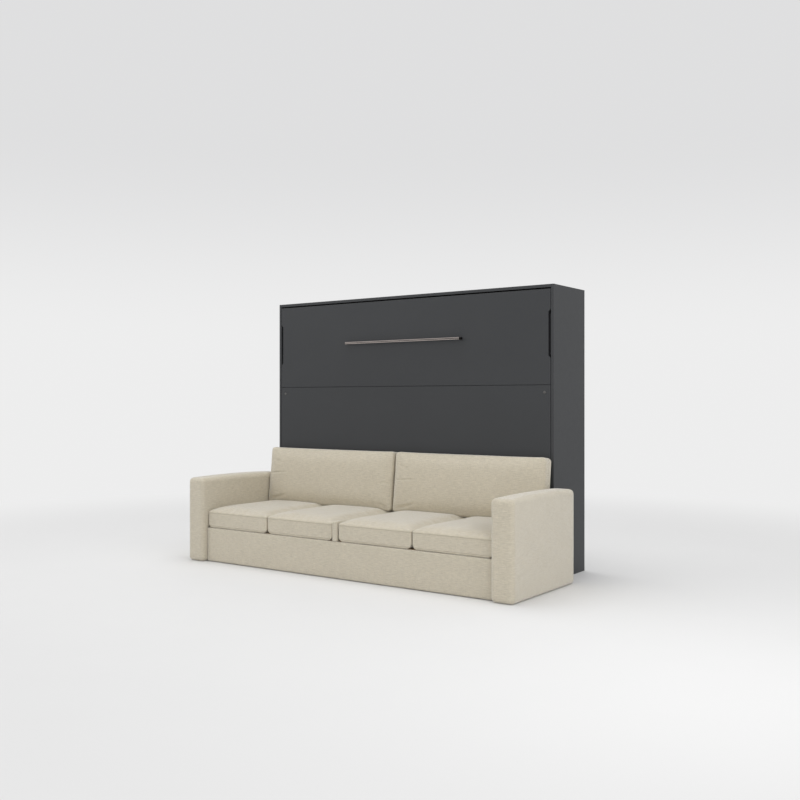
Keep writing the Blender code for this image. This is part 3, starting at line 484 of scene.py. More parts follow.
@finish("beige_linen")
def linen(f):
    """Plain weave with slubs along its weft, from the piece's own weave map in metres."""
    look = settings("fabric")
    uv = f.weave_place()
    drift = f.flow("ShaderNodeTexNoise", None, {"Vector": uv, "Scale": 60.0}, "Color")
    inputs = {0: drift, 1: (YARN_DRIFT,) * 3, 2: uv}
    bent = f.flow("ShaderNodeVectorMath", {"operation": "MULTIPLY_ADD"}, inputs)
    across, along, _ = f.parts(bent)
    warp, weft = across / look.thread, along / look.thread
    over = abs(f.sum("MODULO", f.sum("FLOOR", warp) + f.sum("FLOOR", weft), 2.0))
    warp_round, weft_round = f.ribs(warp * math.pi), f.ribs(weft * math.pi)
    threads = over * weft_round + (1.0 - over) * warp_round
    yarn = 0.7 / look.thread
    yarn_tone = f.grain(uv, (22.0, yarn, 1.0), 3.0, 0.6)
    cross_tone = f.grain(uv, (yarn, 26.0, 1.0), 2.0, 0.6)
    weft_streak = f.grain(uv, (34.0, 210.0, 1.0), 3.0, 0.65)
    warp_streak = f.grain(uv, (230.0, 30.0, 1.0), 3.0, 0.65)
    slub = f.ramp(f.grain(uv, (24.0, 260.0, 1.0), 2.0, 0.55), 0.5, 0.68)
    cloud = f.grain(uv, (5.0, 8.0, 1.0))
    streaks = (weft_streak - 0.5) * 0.5 + (warp_streak - 0.5) * 0.25
    yarns = (yarn_tone - 0.5) * 0.7 + (cross_tone - 0.5) * 0.35 + (threads - 0.6) * 0.35
    tone = streaks + yarns + (cloud - 0.5) * 0.12
    cloth = f.toned(tone + 0.5, look.colour, 0.6, 1.36)
    cloth = f.blend(slub * 0.32, cloth, look.slub_colour)
    groove = f.seam(look.seam_width)
    # Painted shade in the seams' grooves: the linen darkens towards SEAM_SHADE there
    shade = [part * share for part, share in zip(look.colour, SEAM_SHADE)]
    bump = f.relief(threads + slub * 0.9 + (yarn_tone - 0.5) * 1.2, look.relief)
    return f.wear(
        base_color=f.blend(groove * 0.6, cloth, shade),
        roughness=0.98 - threads * 0.12,
        normal=f.relief(groove * -1.0, 0.0012, bump),
        sheen_weight=0.9,
        sheen_roughness=0.3,
        specular_ior_level=0.25,
    )


@finish("grey_laminate")
def laminate(f):
    """Melamine-faced board with a fine pressed texture."""
    look = settings("board")
    spot = f.place()
    pearl = f.noise(spot, 1.0 / look.grain, 4.0, 0.6)
    cloud = f.noise(spot, 2.2, 3.0)
    dust = f.noise(spot, 28.0, 4.0, 0.7)
    return f.wear(
        base_color=f.toned(cloud * 0.6 + pearl * 0.22 + dust * 0.18, look.colour, 0.9, 1.12),
        roughness=look.roughness + (dust - 0.5) * 0.12 + (pearl - 0.5) * 0.06,
        normal=f.relief(pearl, 0.00006),
        specular_ior_level=0.22,
    )


@finish("brushed_nickel_bar")
def brushed_nickel(f):
    """Brushed metal: bright along the bar, with painted shade in its groove, on its ends and on its
    feet.
    """
    look = settings("metal")
    spot = f.place()
    hair = f.grain(spot, (6.0, 1500.0, 1500.0), 3.0, 0.7)
    along, depth, height = f.parts(spot)
    low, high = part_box("handle_bar")
    groove = abs(height - (low.z + high.z) / 2) < look.groove / 2
    # Painted shade: the groove band, the bar's ends and the feet behind the bar go nearly black
    dark = f.largest(depth > high.y, abs(along) > high.x - look.handle_cap, groove)
    bright = f.toned(hair, look.nickel, 0.86, 1.1)
    return f.wear(
        base_color=f.blend(dark * 0.94, bright, shaded(look.nickel, 0.06)),
        roughness=0.22 + hair * 0.2,
        metallic=1.0,
        normal=f.relief(hair, 0.00004),
    )


@finish("black_powder_coat")
def powder_coat(f):
    """Black powder coat with a fine orange peel."""
    peel = f.noise(f.place(), 900.0, 2.0)
    return f.wear(
        base_color=f.toned(f.noise(f.place(), 40.0, 3.0), settings("metal").black, 0.8, 1.5),
        roughness=0.4 + peel * 0.16,
        normal=f.relief(peel, 0.00012),
    )


def plated(f, colour):
    """Zinc plating with its spangle."""
    spangle = f.flow("ShaderNodeTexVoronoi", None, {"Vector": f.place(), "Scale": 260.0}, "Color")
    cloud = f.noise(f.place(), 120.0, 3.0)
    level = f.parts(spangle)[0] * 0.35 + cloud * 0.65
    return f.wear(
        base_color=f.toned(level, colour, 0.78, 1.12),
        roughness=0.26 + level * 0.2,
        metallic=1.0,
        normal=f.relief(cloud, 0.00004),
    )


@finish("zinc_plating")
def zinc(f):
    return plated(f, settings("metal").zinc)


@finish("dark_zinc_plating")
def dark_zinc(f):
    return plated(f, settings("metal").bolt)


@finish("rod_chrome")
def chrome(f):
    """Ground and chromed rod, with fine rings round it."""
    line = f.grain(f.place(), (600.0, 40.0, 40.0))
    colour = f.blend(line, (0.66, 0.66, 0.67), (0.8, 0.8, 0.81))
    return f.wear(base_color=colour, roughness=0.08 + line * 0.08, metallic=1.0)


@finish("lacquered_birch")
def birch(f):
    """Lacquered birch with its grain along Z."""
    wood = settings("slats").wood
    spot = f.place()
    broad = f.grain(spot, (26.0, 26.0, 2.2), 4.0, 0.6)
    fine = f.grain(spot, (420.0, 420.0, 9.0), 3.0, 0.6)
    pores = f.ramp(f.grain(spot, (900.0, 900.0, 60.0), 1.0), 0.62, 0.7)
    colour = f.toned(broad * 0.6 + fine * 0.4, wood, 0.7, 1.2)
    return f.wear(
        base_color=f.blend(pores * 0.35, colour, shaded(wood, 0.5)),
        roughness=0.36 + fine * 0.18,
        normal=f.relief(fine - pores, 0.00008),
    )


def knitted(f, colour):
    """Knitted mattress cover with small ribs, and painted shade in its quilted lines and seams."""
    across, along, _ = f.parts(f.weave_place())
    rib = f.ribs(across * (math.pi / KNIT_RIB))
    loop = f.ribs(along * (math.pi / KNIT_LOOP) + rib)
    cloud = f.noise(f.weave_place(), 30.0, 3.0)
    mixed = f.toned(rib * loop * 0.6 + cloud * 0.4, colour, 0.86, 1.06)
    # Painted shade: the cover darkens to half its colour along the quilted lines and the border
    # seams
    return f.wear(
        base_color=f.blend(f.seam(QUILT_SEAM) * 0.5, mixed, shaded(colour, 0.5)),
        roughness=0.96 - rib * 0.1,
        normal=f.relief(rib * loop, 0.0004),
        sheen_weight=0.15,
    )


@finish("mattress_ticking")
def ticking(f):
    return knitted(f, settings("mattress").ticking)


@finish("mattress_border")
def border(f):
    return knitted(f, settings("mattress").border)


@finish("mattress_piping_cord")
def piping_cord(f):
    return knitted(f, settings("mattress").piping_colour)


@finish("black_webbing")
def webbing(f):
    """Woven strap with ribs along it."""
    across, along, _ = f.parts(f.weave_place())
    rib = f.ribs(across * (math.pi / WEB_RIB))
    pick = f.ribs(along * (math.pi / WEB_PICK) + rib * 1.4)
    return f.wear(
        base_color=f.toned(rib * pick, settings("mattress").webbing, 1.0, 1.9),
        roughness=0.86 - pick * 0.16,
        normal=f.relief(rib * pick, 0.0004),
    )


@finish("black_nylon")
def nylon(f):
    """Moulded black nylon."""
    grain = f.noise(f.place(), 1400.0, 2.0)
    return f.wear(
        base_color=f.blend(grain, (0.028, 0.028, 0.03), (0.05, 0.05, 0.054)),
        roughness=0.38 + grain * 0.16,
        normal=f.relief(grain, 0.00006),
    )


@finish("black_lining")
def lining(f):
    """Black spun lining: short fibres lying all ways. Its near black is partly the lining's own
    colour and partly painted shade in the gaps between the cushions.
    """
    spot = f.place()
    lengthwise = f.grain(spot, (150.0, 900.0, 900.0), 3.0, 0.7)
    fibres = f.largest(lengthwise, f.grain(spot, (900.0, 150.0, 900.0), 3.0, 0.7))
    return f.wear(
        base_color=f.blend(f.ramp(fibres, 0.45, 0.75), (0.012, 0.012, 0.013), (0.04, 0.04, 0.043)),
        roughness=0.9 - fibres * 0.1,
        normal=f.relief(fibres, 0.0002),
    )


@finish("sewing_thread")
def sewing_thread(f):
    """Twisted thread in the linen's colours."""
    look = settings("fabric")
    twist = f.noise(f.place(), 1600.0, 1.0)
    colour = f.blend(twist, shaded(look.colour, 0.7), look.slub_colour)
    return f.wear(base_color=colour, roughness=0.6 + twist * 0.2)


# Meshes


def placed(name, data):
    """A new object at the origin."""
    made = bpy.data.objects.new(name, data)
    bpy.context.scene.collection.objects.link(made)
    return made


def new_mesh(name, spots, edges=(), faces=()):
    mesh = bpy.data.meshes.new(name)
    mesh.from_pydata([tuple(spot) for spot in spots], edges, faces)
    return mesh


def mesh_from(name, bm):
    """A mesh from an edited one, which is freed."""
    mesh = bpy.data.meshes.new(name)
    bm.to_mesh(mesh)
    bm.free()
    return mesh


def piece(name, mesh, materials, body, nodes=()):
    """A finished piece at the origin, with its materials, body and the nodes it replaces."""
    made = placed(name, mesh)
    mesh.materials.clear()
    for material in materials:
        mesh.materials.append(material)
    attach(made, body)
    if nodes:
        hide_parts(*nodes)
    return made


def dress(names, material):
    """Gives CAD nodes that stay a better material."""
    for name in names:
        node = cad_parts[name]
        node.data.materials.clear()
        node.data.materials.append(material)


def sided(*names):
    """Each name with each side's ending."""
    return [f"{name}_{side_name}" for name in names for side_name in SIDES]


def corners(mesh):
    """A mesh's points as an array."""
    flat = np.empty(len(mesh.vertices) * 3)
    mesh.vertices.foreach_get("co", flat)
    return flat.reshape(-1, 3)


def normals(mesh):
    """The directions of a mesh's faces as an array."""
    flat = np.empty(len(mesh.polygons) * 3)
    mesh.polygons.foreach_get("normal", flat)
    return flat.reshape(-1, 3)


def surface(mesh):
    """A mesh as a tree for casting rays."""
    bm = bmesh.new()
    bm.from_mesh(mesh)
    tree = BVHTree.FromBMesh(bm)
    bm.free()
    return tree


def set_corners(mesh, spots):
    mesh.vertices.foreach_set("co", np.ascontiguousarray(spots, dtype=np.float32).ravel())
    mesh.update()


def rounded_grid(name, low, high, radius, cell):
    """A closed block of even quads with round edges and corners, between two opposite corners."""
    low, high = np.array(low), np.array(high)
    half, middle = (high - low) / 2, (high + low) / 2
    lines = [np.linspace(-h, h, max(2, round(2 * h / cell)) + 1) for h in half]
    bm = bmesh.new()
    for axis in range(3):
        first, second = (axis + 1) % 3, (axis + 2) % 3
        for sign in (-1.0, 1.0):
            rows = []
            for a in lines[first]:
                row = []
                for b in lines[second]:
                    spot = np.empty(3)
                    spot[axis], spot[first], spot[second] = sign * half[axis], a, b
                    row.append(bm.verts.new(spot))
                rows.append(row)
            for i in range(len(rows) - 1):
                for j in range(len(rows[0]) - 1):
                    quad = [rows[i][j], rows[i + 1][j], rows[i + 1][j + 1], rows[i][j + 1]]
                    bm.faces.new(quad if sign > 0 else quad[::-1])
    bmesh.ops.remove_doubles(bm, verts=bm.verts, dist=cell / 1000)
    mesh = mesh_from(name, bm)
    spots = corners(mesh)
    core = np.clip(spots, radius - half, half - radius)
    out = spots - core
    out *= radius / np.maximum(np.linalg.norm(out, axis=1), radius / 1000)[:, None]
    set_corners(mesh, core + out + middle)
    mesh.shade_smooth()
    return mesh


def shares(spots, low, high):
    """Each point's place in a box, from -1 to 1 along each axis."""
    low, high = np.array(low), np.array(high)
    return np.clip((spots - (low + high) / 2) / ((high - low) / 2), -1.0, 1.0)


def weave_map(mesh):
    """A map in metres that looks along each face's main axis, with V upwards or to the back."""
    layer = mesh.uv_layers.get(WEAVE_MAP) or mesh.uv_layers.new(name=WEAVE_MAP)
    count = len(mesh.loops)
    vertex = np.empty(count, dtype=np.int32)
    mesh.loops.foreach_get("vertex_index", vertex)
    totals = np.empty(len(mesh.polygons), dtype=np.int32)
    mesh.polygons.foreach_get("loop_total", totals)
    main = np.repeat(np.abs(normals(mesh)).argmax(axis=1), totals)
    spots = corners(mesh)[vertex]
    u = np.where(main == 0, spots[:, 1], spots[:, 0])
    v = np.where(main == 2, spots[:, 1], spots[:, 2])
    layer.data.foreach_set("uv", np.column_stack((u, v)).astype(np.float32).ravel())


def seam_layer(mesh, distances=None):
    """Stores each point's distance from the nearest seam, for the cloth's groove."""
    layer = mesh.attributes.new(SEAM_LAYER, "FLOAT", "POINT")
    if distances is None:
        distances = np.full(len(mesh.vertices), NO_SEAM)
    layer.data.foreach_set("value", distances.astype(np.float32))


def waves(spots, length, seed):
    """Slow even unevenness from -1 to 1 over a piece, the same at each run."""
    turn = np.random.default_rng(seed)
    total = np.zeros(len(spots))
    for octave in OCTAVES:
        for _ in range(WAVES_EACH):
            direction = turn.normal(size=3)
            direction *= 2 * math.pi * octave / (length * np.linalg.norm(direction))
            total += np.sin(spots @ direction + turn.uniform(0, 2 * math.pi)) / octave
    return total / WAVES_SUM


def smooth_step(values, start, end):
    t = np.clip((values - start) / (end - start), 0.0, 1.0)
    return t * t * (3 - 2 * t)


def evaluated_mesh(made):
    """The object's mesh with its modifiers. The object and its old mesh are removed."""
    graph = bpy.context.evaluated_depsgraph_get()
    mesh = bpy.data.meshes.new_from_object(made.evaluated_get(graph))
    old = made.data
    bpy.data.objects.remove(made, do_unlink=True)
    if old.users == 0:
        bpy.data.meshes.remove(old)
    return mesh


def split(mesh):
    """The mesh after one Catmull-Clark subdivision."""
    made = placed("splitting", mesh)
    modifier = made.modifiers.new("split", "SUBSURF")
    modifier.levels = modifier.render_levels = 1
    result = evaluated_mesh(made)
    result.shade_smooth()
    return result


def evened(mesh, shift, turns):
    """A movement of a mesh's points, evened out over neighbouring points."""
    ends = np.empty(len(mesh.edges) * 2, dtype=np.int32)
    mesh.edges.foreach_get("vertices", ends)
    first, second = ends.reshape(-1, 2).T
    count = np.bincount(ends, minlength=len(shift))[:, None]
    for _ in range(turns):
        total = np.zeros_like(shift)
        np.add.at(total, first, shift[second])
        np.add.at(total, second, shift[first])
        shift = (shift + total / count) / 2
    return shift


def inflate(mesh, held, cap, takes, turns):
    """Fills a closed cover with air by cloth simulation.

    held is each point's hold, from 0 to 1, and takes the share of the movement that is kept along
    each axis. The movement is kept under cap and evened out that many turns."""
    look = settings("cushions")
    start = corners(mesh)
    made = placed("inflating", mesh)
    group = made.vertex_groups.new(name="held")
    for level in np.unique(np.round(held, 2)):
        if level > 0:
            chosen = np.flatnonzero(np.round(held, 2) == level).tolist()
            group.add(chosen, float(level), "REPLACE")
    cloth = made.modifiers.new("filling", "CLOTH")
    for name, value in COVER_CLOTH.items():
        setattr(cloth.settings, name, value)
    cloth.settings.uniform_pressure_force = look.pressure
    cloth.settings.shrink_min = -look.spare
    cloth.settings.effector_weights.gravity = 0.0
    cloth.collision_settings.use_collision = False
    cloth.point_cache.frame_start, cloth.point_cache.frame_end = 1, look.frames
    scene = bpy.context.scene
    for step in range(1, look.frames + 1):
        scene.frame_set(step)
    graph = bpy.context.evaluated_depsgraph_get()
    moved = corners(made.evaluated_get(graph).data)
    scene.frame_set(1)
    bpy.data.objects.remove(made, do_unlink=True)
    shift = moved - start
    length = np.linalg.norm(shift, axis=1)
    shift *= (cap * np.tanh(length / cap) / np.maximum(length, cap / 1000))[:, None]
    shift = evened(mesh, shift, turns) * (held < 1.0)[:, None]
    set_corners(mesh, start + shift * takes)


def crease(spots, line, depth, width, towards):
    """Presses a fold, with a low swell beside it, into points near a line, along a direction."""
    line = np.array(line)
    towards = np.array(towards)
    flat = spots - np.outer(spots @ towards, towards)
    best = np.full(len(spots), NO_SEAM)
    place = np.zeros(len(spots))
    pieces = len(line) - 1
    for index in range(pieces):
        a = line[index] - towards * (line[index] @ towards)
        b = line[index + 1] - towards * (line[index + 1] @ towards)
        t = np.clip((flat - a) @ (b - a) / ((b - a) @ (b - a)), 0.0, 1.0)
        distance = np.linalg.norm(flat - a - t[:, None] * (b - a), axis=1)
        closer = distance < best
        best = np.where(closer, distance, best)
        place = np.where(closer, (index + t) / pieces, place)
    fade = np.sin(np.clip(place, 0.02, 0.98) * math.pi) ** 0.6
    valley = np.exp(-((best / width) ** 2)) - 0.35 * np.exp(-(((best - 1.8 * width) / width) ** 2))
    return spots + np.outer(depth * fade * valley, towards)


# Sofa


def node_limits(node):
    """A node's lowest and highest corners as arrays."""
    low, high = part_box(node)
    return np.array(low), np.array(high)


def finish_cover(name, mesh, spots, seams=None, body="cabinet"):
    """Gives a node's cover its shape, maps and cloth, and makes it a piece."""
    set_corners(mesh, spots)
    weave_map(mesh)
    seam_layer(mesh, seams)
    made = piece(name + "_cover", mesh, [linen()], body, [name])
    return made


def make_seat_cushion(number, back_trees):
    """A boxed seat cushion, swollen by simulation, flat below and pressed by the back ones."""
    look = settings("cushions")
    name = f"seat_cushion_{number}"
    low, high = node_limits(name)
    rim = high[2] - look.seat_crown
    rim_high = np.array((high[0], high[1], rim))
    slack = np.array((look.slack, look.slack, 0.0))
    start_high = rim_high - slack
    mesh = rounded_grid(name + "_cover", low + slack, start_high, look.seat_edge, look.cell)
    spots = corners(mesh)
    middle, half = (low + slack + start_high) / 2, (start_high - low - slack) / 2
    spots -= middle
    round_corners(spots, half, look.seat_corner, look.seat_top_corner)
    spots += middle
    place = shares(spots, low, rim_high)
    # A first crown on the upper part, flat in the middle and falling off to the edges.
    lift = smooth_step(place[:, 2], 0.2, 1.0)
    flat = (1 - np.abs(place[:, 0]) ** 8) * (1 - np.abs(place[:, 1]) ** 5)
    spots[:, 2] += lift * (look.seat_crown * SEAT_CROWN_START * flat)
    set_corners(mesh, spots)
    # Held on the deck, and by half up to the upper seam.
    seam_high, seam_low = rim - look.seat_seam, low[2] + look.seat_low_seam
    held = np.where(spots[:, 2] < seam_low, 1.0, 0.0)
    held = np.maximum(held, np.where(spots[:, 2] < seam_high, 0.5, 0.0))
    inflate(mesh, held, look.swell_cap, (look.side_swell, look.side_swell, 1.0), look.seat_evening)
    mesh = split(mesh)
    spots = corners(mesh)
    spots += np.outer(waves(spots, 0.25, number) * look.unevenness, (0.3, 0.3, 1.0))
    # The sides: seams in their grooves, puckers beside them, and boxing drawn in between them.
    rows = spots[:, 2]
    seams = np.minimum(np.abs(rows - seam_high), np.abs(rows - seam_low))
    place = shares(spots, low, high)
    side = np.abs(place[:, :2]).max(axis=1) > SIDE_FROM
    seams = np.where(side, seams, NO_SEAM)
    fade = look.boxing_inset * 1.5
    boxing = smooth_step(rows, seam_low, seam_low + fade)
    boxing *= 1 - smooth_step(rows, seam_high - fade, seam_high)
    puckers = PUCKER_HEIGHT * waves(spots, PUCKER_LENGTH, 20 + number)
    puckers *= np.exp(-((seams / PUCKER_REACH) ** 2))
    groove = 0.8 * np.exp(-((seams / look.boxing_inset) ** 2))
    inward = look.boxing_inset * side * (boxing + puckers + groove)
    pushed = np.sign(place[:, :2]) * (np.abs(place[:, :2]) > SIDE_PUSHED_FROM)
    spots[:, :2] -= pushed * inward[:, None]
    # Stretched to the full width, and on to the divider where it lies by it.
    centre = (low[0] + high[0]) / 2
    filled = np.abs(spots[:, 0] - centre).max()
    spots[:, 0] = centre + (spots[:, 0] - centre) * (high[0] - low[0]) / 2 / filled
    if min(abs(low[0]), abs(high[0])) < look.seat_by_divider:
        inwards = -math.copysign(1.0, centre)
        reach = smooth_step(inwards * (spots[:, 0] - centre) / filled, 0.6, 1.0) * look.seat_reach
        spots[:, 0] += inwards * reach
    spots[:, 1] = np.clip(spots[:, 1], low[1], high[1])
    spots[:, 2] = np.maximum(spots[:, 2], low[2])
    press_down(spots, back_trees, low[2])
    finish_cover(name, mesh, spots, seams)
    line = contour(mesh, (low + high) / 2, seam_high - look.stitch_below, look.stitch_radius / 2)
    make_stitches(name + "_stitches", "cabinet", line)


def round_corners(spots, half, low_radius, high_radius):
    """Rounds a block's two lower and two upper corners as seen along Y."""
    flat = spots[:, [0, 2]]
    radius = np.where(flat[:, 1] < 0, low_radius, high_radius)
    room = half[[0, 2]] - radius[:, None]
    core = np.clip(flat, -room, room)
    out = flat - core
    length = np.linalg.norm(out, axis=1)
    keep = np.minimum(1.0, radius / np.maximum(length, radius / 1000))
    spots[:, [0, 2]] = core + out * keep[:, None]


def contour(mesh, middle, height, lift, count=480):
    """A closed line round a piece at a height, just above its surface."""
    tree = surface(mesh)
    line = []
    for turn in np.arange(count) * 2 * math.pi / count:
        direction = Vector((math.cos(turn), math.sin(turn), 0.0))
        outside = Vector((middle[0], middle[1], height)) + direction * 2
        hit, normal, *_ = tree.ray_cast(outside, -direction)
        if hit is None:
            raise RuntimeError("a contour missed its piece")
        line.append(hit + normal * lift)
    return line


def press_down(spots, trees, floor):
    """Keeps points below what lies on the back part of a seat cushion."""
    clearance = settings("cushions").clearance
    for index in np.flatnonzero(spots[:, 1] > PRESSED_FROM):
        x, y, z = spots[index]
        for tree in trees:
            hit, *_ = tree.ray_cast(Vector((x, y, floor)), Vector((0.0, 0.0, 1.0)))
            if hit and z > hit.z - clearance:
                spots[index, 2] = hit.z - clearance


def make_back_cushion(side_name, side):
    """A back cushion, modelled upright, swollen by simulation, then leaned on the front."""
    look = settings("cushions")
    name = "back_cushion_" + side_name
    low, high = node_limits(name)
    middle = (low + high) / 2
    lean = Matrix.Rotation(-look.back_tilt, 3, "X")
    width, upright = high[0] - low[0], high[2] - low[2]
    height = upright - look.back_thickness * math.sin(look.back_tilt)
    half = np.array((width, look.back_thickness, height / math.cos(look.back_tilt))) / 2
    slack = np.array((look.slack, look.slack, look.slack)) * 0.8
    mesh = rounded_grid(name + "_cover", slack - half, half - slack, look.back_edge, look.cell)
    spots = corners(mesh)
    place = shares(spots, -half, half)
    bulge = (1 - np.abs(place[:, 0]) ** 4) * (1 - np.abs(place[:, 2]) ** 3)
    crown = np.where(place[:, 1] < 0, -look.back_crown * BACK_CROWN_START, BACK_REAR_SWELL)
    spots[:, 1] += crown * bulge * np.abs(place[:, 1])
    round_corners(spots, half - slack, look.back_corner, look.back_corner)
    set_corners(mesh, spots)
    # Held by half along the seam round its sides, and a little more on its rear.
    ring = np.abs(place[:, 1]) < 0.12
    held = 0.5 * ring * (np.abs(place[:, [0, 2]]).max(axis=1) > SIDE_PUSHED_FROM)
    held = np.maximum(held, np.where(place[:, 1] > SIDE_PUSHED_FROM, 0.6, 0.0))
    inflate(mesh, held, look.swell_cap, (look.side_swell, 1.0, look.side_swell), look.back_evening)
    mesh = split(mesh)
    spots = corners(mesh)
    spots[:, 1] += waves(spots, 0.35, 7 + side) * 0.0012 * (shares(spots, -half, half)[:, 1] < 0)
    for turned, creases in ((1, LEFT_CREASES), (-1, RIGHT_CREASES)):
        for points, from_bottom, depth, width in creases:
            foot = -half[2] if from_bottom else 0.0
            line = [(turned * (x - half[0]), -half[1], foot + z) for x, z in points]
            spots = crease(spots, line, depth, width, (0.0, 1.0, 0.0))
    edge = np.maximum(np.abs(spots[:, 0]) - half[0], np.abs(spots[:, 2]) - half[2]) > -0.02
    seams = np.where(edge, np.abs(spots[:, 1]), NO_SEAM)
    # Leaned on the front, kept in front of it, and reaching for its arm and its neighbour.
    spots = spots @ np.array(lean).T + middle
    spots[:, 1] = np.minimum(spots[:, 1], high[1])
    outwards = side * (spots[:, 0] - middle[0]) / half[0]
    reach = smooth_step(outwards, 0.6, 1.0) * look.back_reach
    reach -= smooth_step(-outwards, 0.6, 1.0) * look.back_meet
    spots[:, 0] = np.clip(spots[:, 0], low[0], high[0]) + side * reach
    spots[:, 2] = np.maximum(spots[:, 2], low[2])
    return finish_cover(name, mesh, spots, seams, "back_cushions")


def make_arm(side_name):
    """An arm with a low crown along its top."""
    look = settings("body")
    name = "sofa_arm_" + side_name
    low, high = node_limits(name)
    rim_high = (high[0], high[1], high[2] - look.arm_crown)
    mesh = rounded_grid(name + "_cover", low, rim_high, look.arm_edge, look.arm_cell)
    spots = corners(mesh)
    place = shares(spots, low, rim_high)
    rise = look.arm_crown * (1 - np.abs(place[:, 0]) ** 2.5) * (1 - np.abs(place[:, 1]) ** 2.5)
    spots[:, 2] += rise * smooth_step(place[:, 2], 0.8, 1.0)
    soft = np.minimum(spots[:, 2] / 0.05, 1.0)
    spots[:, 0] -= np.sign(place[:, 0]) * np.abs(waves(spots, 0.4, 3)) * look.waviness * soft
    finish_cover(name, mesh, spots)


def make_board_cover(name, radius, cell, fill, draw=(0.0, 0.0), rise=0.0):
    """Cloth over a board or a thin padded wall.

    draw is how far it is drawn in at its sides and at its front, and rise how far the front end
    stands up."""
    look = settings("body")
    low, high = node_limits(name)
    low, high = low + (draw[0], draw[1], 0.0), high - (draw[0], 0.0, 0.0)
    mesh = rounded_grid(name + "_cover", low, high, radius, cell)
    spots = corners(mesh)
    inner = shares(spots, low, high)
    swell = waves(spots, 0.3, 11) * look.waviness * 0.5
    spots[:, 1] += swell * np.sign(-inner[:, 1]) * (1 - inner[:, 2] ** 4)
    spots = np.clip(spots, low, high)
    head = 1.0 - smooth_step(spots[:, 1] - low[1], look.divider_head, look.divider_head * 2.5)
    spots[:, 2] += rise * head * smooth_step(inner[:, 2], -1.0, 1.0)
    finish_cover(name, mesh, spots)


def make_deck():
    """The board under the cushions, with black lining drawn over its top and edges; the lining is
    real, and its near black is also painted shade where the deck shows between the cushions.
    """
    look = settings("body")
    low, high = node_limits("seat_deck")
    bm = bmesh.new()
    place = Matrix.Translation((low + high) / 2) @ Matrix.Diagonal((*(high - low), 1.0))
    bmesh.ops.create_cube(bm, size=1.0, matrix=place)
    rounding = {"segments": 3, "affect": "EDGES", "profile": 0.5}
    bmesh.ops.bevel(bm, geom=bm.edges[:], offset=look.deck_edge, **rounding)
    bm.normal_update()
    for face in bm.faces:
        face.material_index = 0 if face.normal.z < -0.5 else 1
    mesh = mesh_from("seat_deck_lined", bm)
    # Painted shade: the black lining darkens the deck where it shows in the gaps between the seat
    # cushions
    materials = [birch(), lining()]
    piece("seat_deck_lined", mesh, materials, "cabinet", ["seat_deck"])


def make_seam_strip():
    """The black strip that closes the seam between the front's two boards."""
    look = settings("board")
    lower_low, lower_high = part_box("front_panel_lower")
    upper_low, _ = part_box("front_panel_upper")
    inset = look.strip_depth
    low = (lower_low.x + inset, lower_low.y + inset, lower_high.z - look.strip_hold)
    high = (lower_high.x - inset, lower_high.y - inset, upper_low.z + look.strip_hold)
    mesh = rounded_grid("front_seam_strip", low, high, look.strip_hold, look.strip_cell)
    piece("front_seam_strip", mesh, [nylon()], "bed")


# Repeated pieces


class Repeat(Graph):
    """A Geometry Nodes tree with named inputs, which ends in one mesh with a material."""

    def __init__(self, name, inputs):
        tree = bpy.data.node_groups.new(name, "GeometryNodeTree")
        tree.is_modifier = True
        for way in ("INPUT", "OUTPUT"):
            tree.interface.new_socket("Geometry", in_out=way, socket_type="NodeSocketGeometry")
        for label, (kind, value) in inputs.items():
            made = tree.interface.new_socket(label, in_out="INPUT", socket_type="NodeSocket" + kind)
            made.default_value = value
        super().__init__(tree)
        self.entry = tree.nodes.new("NodeGroupInput")
        self.exit = tree.nodes.new("NodeGroupOutput")

    def given(self, label):
        return Flow(self, self.entry.outputs[label])

    def put(self, points, instance, **turn):
        """An instance on each point."""
        inputs = {"Points": points, "Instance": instance, **turn}
        return self.flow("GeometryNodeInstanceOnPoints", None, inputs)

    def turned_to(self, direction):
        inputs = {"Vector": direction}
        return self.flow("FunctionNodeAlignRotationToVector", {"axis": "Z"}, inputs)

    def close(self, geometry, material):
        """Ends the tree with real geometry that has its material, and returns it."""
        real = self.flow("GeometryNodeRealizeInstances", None, {0: geometry})
        inputs = {"Geometry": real, "Material": material}
        done = self.flow("GeometryNodeSetMaterial", None, inputs)
        self.tree.links.new(done.socket, self.exit.inputs[0])
        return self.tree


def made_once(lay_out):
    """Turns a function that lays out a tree into one that makes it once for each material."""

    def hand_out(material):
        name = f"{lay_out.__name__}_{material.name}"
        return bpy.data.node_groups.get(name) or lay_out(name, material)

    return hand_out


def repeated(tree, mesh, values):
    """What a tree makes on a mesh, as a plain mesh. values sets its inputs by their labels."""
    made = placed("repeating", mesh)
    modifier = made.modifiers.new("repeat", "NODES")
    modifier.node_group = tree
    for item in tree.interface.items_tree:
        if item.item_type == "SOCKET" and item.in_out == "INPUT" and item.name in values:
            modifier[item.identifier] = values[item.name]
    return evaluated_mesh(made)


def points_mesh(spots, facings=None):
    """Loose points, each with the direction that it faces."""
    mesh = new_mesh("points", spots)
    if facings is not None:
        layer = mesh.attributes.new("facing", "FLOAT_VECTOR", "POINT")
        layer.data.foreach_set("vector", np.array(facings, dtype=np.float32).ravel())
    return mesh


